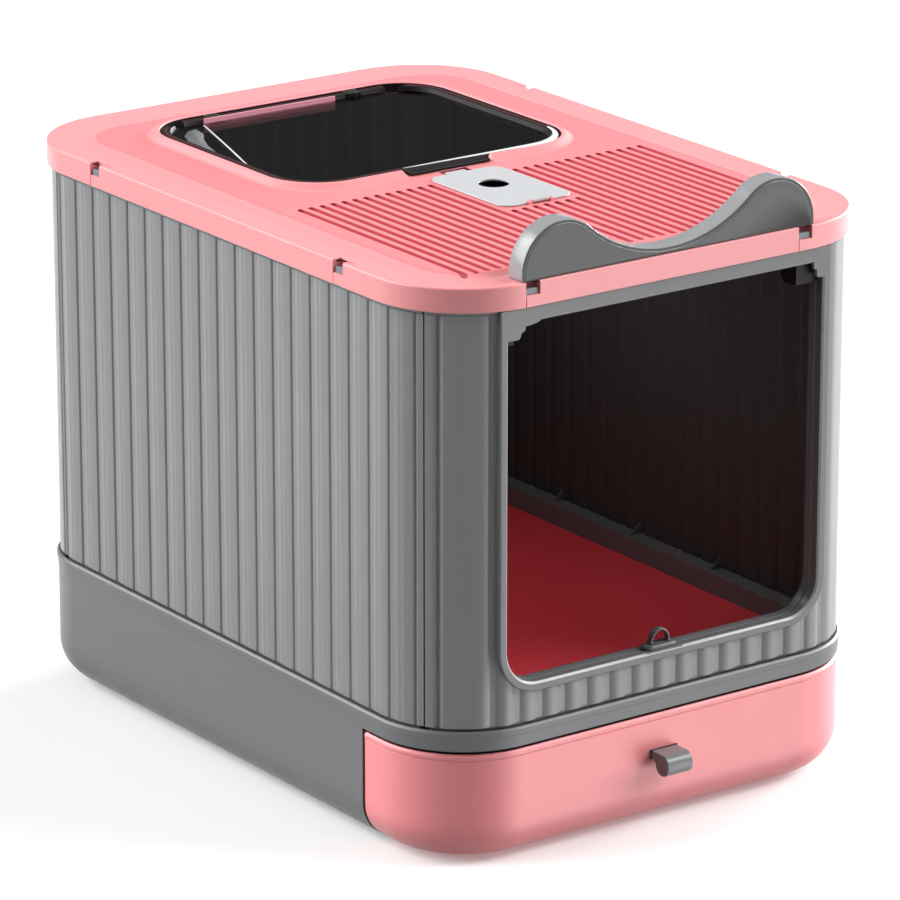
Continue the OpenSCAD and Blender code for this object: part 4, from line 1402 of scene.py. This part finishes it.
@dataclass
class Drawer:
    """The pink drawer: a front that wraps round both corners, and the tray behind it."""

    outer: Outline = Outline(207.8, 290.3, 75.8)
    tray: Outline = Outline(200.8, 281.4, 58, 0, -0.1)
    low: float = 1.5
    fillet: float = 32.0
    tray_low: float = 6.8
    tray_fillet: float = 27.0
    wall: float = 2.5
    top: float = 90.5
    end: float = -194.0
    pull_z: float = 62.0

    def _front(self) -> bpy.types.Object:
        """The front block with its rolled lip.

        Returns:
            The object.
        """
        edge = [
            (-0.5, -5.5), (-0.65, -5.1), (-0.65, -4.8), (-0.1, -4.4), (0.0, -4.0), (0.0, -1.9),
            (-0.12, -1.6), (-1.4, -0.2), (-1.7, 0),
        ]
        rings = tub_rings(self.outer.grown(-0.5), self.low, self.fillet, self.top - 6.4)
        rings += self.outer.rings([(grow, self.top + z) for grow, z in edge], 24)
        made = Shell().loft(rings).build("drawer_body")
        return carve(made, Shell().block((-FAR, self.end, BELOW), (FAR, FAR, ABOVE)))

    def item(self) -> bpy.types.Object:
        """The whole drawer, hollowed out.

        Returns:
            The object.
        """
        made, w, high = self._front(), self.wall, 300
        low, fillet = self.tray_low, self.tray_fillet
        tray = Shell().loft(tub_rings(self.tray, low, fillet, self.top - 2.5)).build("tray")
        carve(tray, Shell().block((-FAR, -FAR, BELOW), (FAR, self.end - 0.01, ABOVE)))
        carve(made, tray, Cut.WITH, crossed=False)
        room_rings = tub_rings(self.outer.grown(-w), self.low + w, self.fillet - w, high)
        room = Shell().loft(room_rings).build("room")
        carve(room, Shell().block((-FAR, self.end - w, BELOW), (FAR, FAR, ABOVE)))
        carve(made, room, crossed=False)
        return carve(made, Shell().loft(tub_rings(self.tray.grown(-w), low + w, fillet - w, high)))

    def pull(self) -> bpy.types.Object:
        """The pull: an arm that swells into a thick round end.

        Returns:
            The object.
        """
        outline = [(0.0, -6.0), (0.0, 0.0)] + arc((13, -8), 8, 90, 0, 14) + arc((13, -9), 8, 0, -172, 24)
        outline += [(4.7, -8.0), (4.0, -7.1), (3.0, -6.4), (1.8, -6.1)]
        section = [(self.outer.front - depth, self.pull_z + z) for depth, z in outline]
        return Shell().across(section, -12, 12).build("pull_hook")

    def pull_seat(self) -> bpy.types.Object:
        """The thin dark seat round the root of the pull."""
        face, z = self.outer.front, self.pull_z
        return Shell().block((-12.6, face - 0.7, z - 6.6), (12.6, face + 1.0, z + 0.6)).build("pull_seat")

    def place(self) -> None:
        """Makes the drawer and its pull."""
        Piece(self.item(), "drawer", "pink", (Finish.PINK_BASE,), ("drawer",), 0.4).place()
        Piece(self.pull(), "drawer", "grey", (Finish.PULL,), ("drawer_pull",), 0.9).place()
        Piece(self.pull_seat(), "drawer", "grey", (Finish.SOCKET,), ("drawer_pull",), 0.2).place()


# ---------------------------------------------------------------- ear rail


@dataclass
class EarRail:
    """The rail on the cover's front edge, shaped like two ears with a dip between them."""

    base: float = 449.5
    front: float = -291.5
    thick: float = 18.0
    ear_x: float = 98.0
    ear_r: float = 37.0
    ear_z: float = 4.6
    dip: float = 5.5
    fillet: float = 1.3

    def flat(self, inset: float) -> list[Pair]:
        """The rail's outline, moved inwards.

        Args:
            inset: How far.

        Returns:
            Points (x, z), from the right foot over both ears to the left foot.
        """
        low = min(inset, self.fillet) * 0.4
        drop = self.dip - self.ear_z
        dip_r = (self.ear_x ** 2 + drop ** 2 - self.ear_r ** 2) / (2 * (self.ear_r - drop))
        high = self.dip + dip_r
        radius, valley = self.ear_r - inset, dip_r + inset
        turn = math.degrees(math.atan2(high - self.ear_z, -self.ear_x))
        foot = -math.degrees(math.asin((self.ear_z - low) / radius))
        right = arc((self.ear_x, self.ear_z), radius, foot, turn, 40)
        right += arc((0, high), valley, turn - 180, -90, 26)[1:]
        left = [(-x, z) for x, z in reversed(right[:-1])]
        return [(x, self.base + z) for x, z in right + left]

    def item(self) -> bpy.types.Object:
        """The rail with a fine line set in round its front face.

        Returns:
            The object, with its narrow faces in a slot of their own: the top and ends in a lighter grey than
            the front face, as painted highlight.
        """
        y0, y1, r = self.front, self.front + self.thick, self.fillet
        steps = [(3.4, y0), (2.9, y0), (2.75, y0 + 0.4), (2.3, y0 + 0.4), (2.15, y0), (1.3, y0)]
        bows = [(1 - math.sin(math.radians(a)), 1 - math.cos(math.radians(a))) for a in (0, 22, 45, 68, 90)]
        steps += [(r * inset, y0 + r * depth) for inset, depth in bows[1:]]
        steps += [(r * inset, y1 - r * depth) for depth, inset in bows]
        made = Shell().loft([facing(self.flat(inset), y) for inset, y in steps]).build("ear_rail_body")
        # Painted highlight: faces that do not face the front take the lighter grey.
        for face in made.data.polygons:
            face.material_index = int(abs(face.normal.y) < 0.8)
        return made

    def place(self) -> None:
        """Makes the rail."""
        Piece(self.item(), "lid", "grey", (Finish.RAIL, Finish.RAIL_TOP), ("ear_rail",)).place()


# ---------------------------------------------------------------- hatch flap


@dataclass
class HatchFlap:
    """The clear flap with its raised border, finger tab and hinge barrels."""

    hatch: Outline = Outline(134, 115, 45, 0, 107.5)
    gap: float = 1.2
    low: float = 449.5
    sheet: float = 452.0
    crest: float = 455.5
    bead: float = 8.0
    axis_y: float = 217.5
    axis_z: float = 452.3
    tab_half: float = 37.5
    clip_start: float = 61.0
    rib: float = 2.4
    # The path of a painted highlight line on the clear flap.
    highlight_line: tuple[Pair, ...] = ((-83.0, 206.0), (-104.0, 139.6), (-122.4, 84.0))
    # A grey crescent on the clear flap's corner: a painted reflection.
    reflection_crescent: tuple[Pair, ...] = (
        (-94.0, 200.0), (-104.0, 197.0), (-113.0, 187.0), (-119.0, 172.0), (-122.5, 150.0), (-123.0, 114.0),
        (-119.5, 132.0), (-114.0, 152.0), (-106.0, 170.0), (-97.0, 184.0),
    )

    def border(self) -> bpy.types.Object:
        """Sheet and border bead in one, cut straight along the hinge.

        Returns:
            The object, with the clear bead coloured near black as painted shade and the line on its crest
            dark maroon as painted reflection, in slots of their own.
        """
        edge, b, top, crest = self.hatch.grown(-self.gap), self.bead, self.sheet, self.crest
        section = [
            (-0.4, self.low), (0, self.low + 0.4), (0, crest - 1.2), (-0.35, crest - 0.35), (-1.2, crest),
            (-3.0, crest), (-4.6, crest), (1.6 - b, crest), (0.9 - b, crest - 0.25), (0.4 - b, crest - 0.9),
            (-b, top + 0.6), (-b - 0.5, top + 0.1), (-b - 1.2, top),
        ]
        made = Shell().loft(edge.rings(section)).build("flap_sheet")
        back = self.axis_y + 20
        tool = Shell().block((-300, self.axis_y, 400), (300, 400, 500))
        tool.blocks((60, self.axis_y - 7, 440), (74, back, 480)).blocks((97, 208.5, 440), (200, back, 480))
        carve(made, tool)
        sheet, outer, inner = (edge.grown(-by) for by in (b + 1.0, 3.0, 4.6))
        for face, x, y, z in faces(made):
            # Painted shade and reflection: the clear bead is coloured near black where the dark inside shows
            # through, with a dark maroon line on its crest.
            if z > crest - 0.1 and outer.holds(x, y) and not inner.holds(x, y):
                face.material_index = 2
            elif not sheet.holds(x, y):
                face.material_index = 1
        return made

    def front_highlight(self) -> bpy.types.Object:
        """A white strip along the front edge that widens towards the right corner: a painted highlight.

        Returns:
            The object.
        """
        edge = self.hatch.grown(-self.gap - 3.6)
        start, turn = -36.0, edge.half_x - edge.radius
        path = [(start + (turn - start) * k / 12, edge.front, 0.0) for k in range(12)]
        for a in (math.radians(5 * k) for k in range(18)):
            path.append((turn + edge.radius * math.sin(a), edge.front + edge.radius * (1 - math.cos(a)), a))
        rings = []
        for k, (x, y, angle) in enumerate(path):
            share = k / (len(path) - 1)
            half = 0.5 + 3.2 * smooth(min(share / 0.6, 1.0)) * (1 - 0.85 * max((share - 0.6) / 0.4, 0.0))
            out = Vector((math.sin(angle), -math.cos(angle), 0))
            rings.append([Vector((x, y, self.crest - 0.3)) + out * half * a + Vector((0, 0, b))
                          for a, b in around((0, 0), 1.0, 16)])
        return Shell().loft(rings).build("flap_front_highlight")

    def hanger(self) -> bpy.types.Object:
        """The rosy strip that hangs from the sheet between the hinges.

        Returns:
            The object.
        """
        y = self.hatch.centre_y + self.hatch.half_y - 12
        section = [(y, 443.0), (y + 1.2, 443.0), (y + 1.2, 456.0), (y, 456.0)]
        return Shell().across(section, -79, 47).build("flap_hanger")

    def tab(self) -> bpy.types.Object:
        """Finger tab over the dip in the rim.

        Returns:
            The object.
        """
        z0, z1 = 452.5, 455.5
        outline = [(-7.6, z0 + 0.4), (-7.2, z0), (7, z0), (9, z1), (3, z1)]
        outline += [(-6.8, z1 - 0.5), (-7.7, z1 - 1.2)]
        section = [(self.hatch.front + y, z) for y, z in outline]
        return Shell().across(section, -self.tab_half, self.tab_half).build("flap_tab")

    def _mark(self, name: str, plan: Flat, rise: float) -> bpy.types.Object:
        """A thin raised shape on the sheet, given by its name, plan and height; used for the painted
        highlight line and the painted reflection crescent.
        """
        return Shell().loft([lying(plan, self.sheet + z) for z in (-0.2, rise)]).build(name)

    def barrels(self) -> bpy.types.Object:
        """Hinge barrels and the strip that is turned down between them.

        Returns:
            The object.
        """
        shell, y = Shell(), self.axis_y
        for x in (-54.5, 54.5):
            shell.rod((x, y, self.axis_z), 2.8, 11)
        section = [(y - 2.4, 449.7), (y - 0.6, 449.7), (y - 0.6, 452.4), (y - 2.4, 452.4)]
        return shell.across(section, -48.5, 48.5).build("flap_barrels")

    def clips(self) -> bpy.types.Object:
        """Ribbed blocks that hold the hinge pins.

        Returns:
            The object.
        """
        shell, y, half = Shell(), self.axis_y, self.rib / 2
        for sign in (-1, 1):
            for k in range(5):
                x, tall = sign * (self.clip_start + half + k * self.rib), 455.0 if k % 2 else 455.7
                shell.block((x - half, y - 5.5, 448.5), (x + half, y + 4.8, tall))
        return shell.build("hinge_clips")

    def place(self) -> None:
        """Makes the flap and the hinge clips."""
        # Painted light on the clear flap: its border, tab and barrels are near black as painted shade, the
        # front strip and the line are white as painted highlights, and the crescent is grey as painted
        # reflection.
        highlight_plan = [*self.highlight_line, *((x + 1.1, y - 0.3) for x, y in reversed(self.highlight_line))]
        for item, edge, angle, *finishes in (
            (self.border(), 0.2, 50, Finish.CLEAR, Finish.SMOKE, Finish.MAROON),
            (self.tab(), 0.5, 40, Finish.SMOKE),
            (self.front_highlight(), 0.0, 50, Finish.POLISHED),
            (self.hanger(), 0.3, 40, Finish.ROSE),
            (self.barrels(), 0.2, 50, Finish.SMOKE),
            (self._mark("flap_highlight_line", highlight_plan, 0.5), 0.0, 50, Finish.POLISHED),
            (self._mark("flap_reflection_crescent", self.reflection_crescent, 0.2), 0.0, 50, Finish.BASE),
        ):
            Piece(item, "flap", "clear", tuple(finishes), ("hatch_flap",), edge, angle).place()
        Piece(self.clips(), "lid", "dark_grey", (Finish.SOCKET,), ("flap_hinge_clips",), 0.3).place()


# ---------------------------------------------------------------- small parts


@dataclass
class DeodoriserPlate:
    """The light grey plate over the cup, with a round vent and a hinge barrel."""

    outline: Outline = Outline(33.5, 50.5, 11, 0, -80)
    low: float = 452.1
    thick: float = 1.5
    vent_r: float = 13.5
    vent_y: float = -71.0

    def item(self) -> bpy.types.Object:
        """The plate with a bevelled vent.

        Returns:
            The object.
        """
        low, high, r = self.low, self.low + self.thick, self.vent_r
        section = ((-0.5, low), (0, low + 0.4), (0, high - 0.7), (-0.2, high - 0.2), (-0.7, high))
        made = Shell().loft(self.outline.rings(section)).build("vent_plate")
        vent = [(r - 1.6, low - 3), (r - 1.6, low + 1.0), (r - 1.4, low + 1.4)]
        vent += [(r, high - 0.2), (r + 0.4, high + 2)]
        tool = Shell().loft([lying(around((0, self.vent_y), radius, 64), z) for radius, z in vent])
        return carve(made, tool.blocks((8.2, -136, 440), (11.4, -128, 480)))

    def fittings(self) -> bpy.types.Object:
        """Hinge barrel in front and the clip tongue behind."""
        shell = Shell().rod((0, -130.5, 454.2), 1.7, 16.4, 24)
        return shell.block((-10.5, -31.5, 450.3), (8, -21.0, 452.3)).build("plate_fittings")

    def place(self) -> None:
        """Makes the plate."""
        for item, edge in ((self.item(), 0.2), (self.fittings(), 0.3)):
            Piece(item, "vent_plate", "light_grey", (Finish.LIGHT_GREY,), ("deodoriser_plate",), edge).place()


@dataclass
class DoorLatch:
    """The oval foot on the sill with its upright finger loop."""

    foot: Outline = Outline(15, 6, 6, 0, -282.0)
    low: float = 140.55
    loop_r: float = 8.0
    loop_half: Pair = (1.0, 2.9)

    def item(self) -> bpy.types.Object:
        """Foot and loop.

        Returns:
            The object.
        """
        z, (thick, deep) = self.low, self.loop_half
        section = ((-0.3, z), (0, z + 0.3), (0, z + 2.2), (-0.4, z + 3.0), (-1.2, z + 3.5))
        shell = Shell().loft(self.foot.rings(section, 10))
        rings = []
        for x, up in arc((0, 0), self.loop_r, -24, 204, 34):
            out = Vector((x, 0, up)).normalized()
            centre = Vector((x * (1.0 - 0.02 * up) + 0.06 * up, self.foot.centre_y, z + 3.5 + 2.8 + up))
            ring = []
            for a, b in around((0, 0), 1.0, 24):
                square = max(abs(a), abs(b)) ** 0.5
                ring.append(centre + out * (thick * a / square) + Vector((0, deep * b / square, 0)))
            rings.append(ring)
        return shell.loft(rings).build("latch_loop")

    def place(self) -> None:
        """Makes the latch."""
        Piece(self.item(), "latch", "dark_grey", (Finish.DARK_GREY,), ("door_latch",)).place()


@dataclass
class SmallParts:
    """CAD parts that keep their shape and only take a finish."""

    worn: dict[str, Finish] = field(default_factory=lambda: {
        "foot_pads": Finish.RUBBER,
        "litter_screen": Finish.SCREEN,
        "flap_hinge_pins": Finish.STEEL,
        "rail_screws": Finish.STEEL,
        "plate_hinge_pin": Finish.STEEL,
        "latch_screw": Finish.STEEL,
        "pull_screws": Finish.STEEL,
        "deodoriser_cup": Finish.GREY,
        "charcoal_pack": Finish.CHARCOAL,
    })

    def place(self) -> None:
        """Dresses the parts."""
        for node, finish in self.worn.items():
            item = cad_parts[node]
            item.data.materials.clear()
            item.data.materials.append(finish.material())
            rounded(item, 0.2, 50)
            log.info("%s keeps its shape in %s", node, finish.value.name)


# ---------------------------------------------------------------- stage


def direction(azimuth: float, elevation: float) -> Vector:
    """Unit vector towards a place given in degrees; azimuth 0 is in front and 90 on the right."""
    a, e = math.radians(azimuth), math.radians(elevation)
    return Vector((math.sin(a) * math.cos(e), -math.cos(a) * math.cos(e), math.sin(e)))


@dataclass(frozen=True)
class Sun:
    """Broad, even light from far away, as from a large diffuser.

    The level is its brightness on a white board that faces it, and the spread its width in degrees.
    """

    name: str
    azimuth: float
    elevation: float
    level: float
    spread: float

    def place(self) -> None:
        """Adds the light."""
        data = bpy.data.lights.new(self.name, "SUN")
        data.energy, data.angle = self.level * math.pi, math.radians(self.spread)
        linked(self.name, data, direction(self.azimuth, self.elevation))


@dataclass
class Studio:
    """Pale floor, soft lights and the camera."""

    azimuth: float = -35.631
    elevation: float = 18.051
    distance: float = 4405.0
    lens: float = 225.0
    aim: tuple[float, float, float] = (0.0, 0.0, 250.0)
    slide: Pair = (7.98, -27.87)
    floor_reach: float = 30.0
    floor_glow: float = 0.15
    sky_level: float = 0.10
    sky_zenith: float = 0.40
    sky_below: float = 0.15
    inner_size: Pair = (0.26, 0.40)
    inner_height: float = 0.425
    inner_watts: float = 0.33
    suns: tuple[Sun, ...] = (
        Sun("left_diffuser", -128, 28, 1.25, 50),
        Sun("right_diffuser", 76, 22, 0.95, 40),
        Sun("front_strip", 50, 42, 0.42, 24),
        Sun("back_strip", -158, 34, 0.14, 20),
        Sun("right_edge", 107, 5, 1.3, 14),
        Sun("front_bounce", 40, -24, 0.4, 40),
    )

    def camera(self) -> None:
        """Puts the camera in place."""
        back = direction(self.azimuth, self.elevation)
        right = direction(self.azimuth + 90, 0)
        data = bpy.data.cameras.new("camera")
        data.lens, data.clip_end = self.lens, 100
        item = linked("camera", data, back)
        spot = Vector(self.aim) + Vector((0, SHIFT_Y, 0)) + back * self.distance
        item.location = (spot + right * self.slide[0] + back.cross(right) * self.slide[1]) * MM
        bpy.context.scene.camera = item

    def floor(self) -> None:
        """Adds the pale floor that the box stands on."""
        mesh, r = bpy.data.meshes.new("floor"), self.floor_reach
        mesh.from_pydata([(-r, -r, 0), (r, -r, 0), (r, r, 0), (-r, r, 0)], [], [(0, 1, 2, 3)])
        shader = Shader("floor_paint")
        shader.set(
            Base_Color=shader.blend(shader.noise(3.0), (0.83, 0.83, 0.832, 1.0), (0.85, 0.85, 0.85, 1.0)),
            Roughness=0.8,
            Specular_IOR_Level=0.1,
            Emission_Color=(1.0, 1.0, 1.0, 1.0),
            Emission_Strength=self.floor_glow,
        )
        mesh.materials.append(shader.material)
        item = linked("floor", mesh)
        item.visible_diffuse, item.visible_shadow = False, False

    def sky(self) -> None:
        """Adds pale light from all round, brighter overhead, and what the floor throws back."""
        world = bpy.data.worlds.new("sky")
        world.use_nodes = True
        nodes, level = Nodes(world.node_tree), self.sky_level
        where = nodes.node("ShaderNodeTexCoord").outputs["Generated"]
        rise = Value(nodes, nodes.node("ShaderNodeSeparateXYZ", sockets={0: where}).outputs["Z"])
        under = (rise * -8.0).at_least(0.0).at_most(1.0)
        over = rise.at_least(0.0) ** 1.5
        strength = over * (self.sky_zenith - level) + under * (self.sky_below - level) + level
        light = {"Color": (1.0, 1.0, 1.0, 1.0), "Strength": strength}
        background = nodes.node("ShaderNodeBackground", sockets=light)
        nodes.node("ShaderNodeOutputWorld", sockets={"Surface": background.outputs[0]})
        bpy.context.scene.world = world

    def inner_panel(self) -> None:
        """Adds a dim panel under the cover that lights the tray from above."""
        data = bpy.data.lights.new("inner_panel", "AREA")
        data.shape, data.energy = "RECTANGLE", self.inner_watts
        data.size, data.size_y = self.inner_size
        item = linked("inner_panel", data)
        item.location = (0.0, 0.0, self.inner_height)
        item.visible_camera = item.visible_glossy = item.visible_transmission = False

    def place(self) -> None:
        """Sets the whole stage."""
        self.camera()
        self.floor()
        self.sky()
        for sun in self.suns:
            sun.place()
        self.inner_panel()
        bpy.context.scene.view_settings.view_transform = "Standard"


def main() -> None:
    """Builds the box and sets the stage."""
    logging.basicConfig(level=logging.INFO, format="%(message)s")
    Studio().place()
    cover = TopCover()
    for part in (
        cover, Walls(cover), Base(), Drawer(), EarRail(), HatchFlap(), DeodoriserPlate(),
        DoorLatch(), SmallParts(),
    ):
        part.place()


if __name__ == "__main__":
    main()
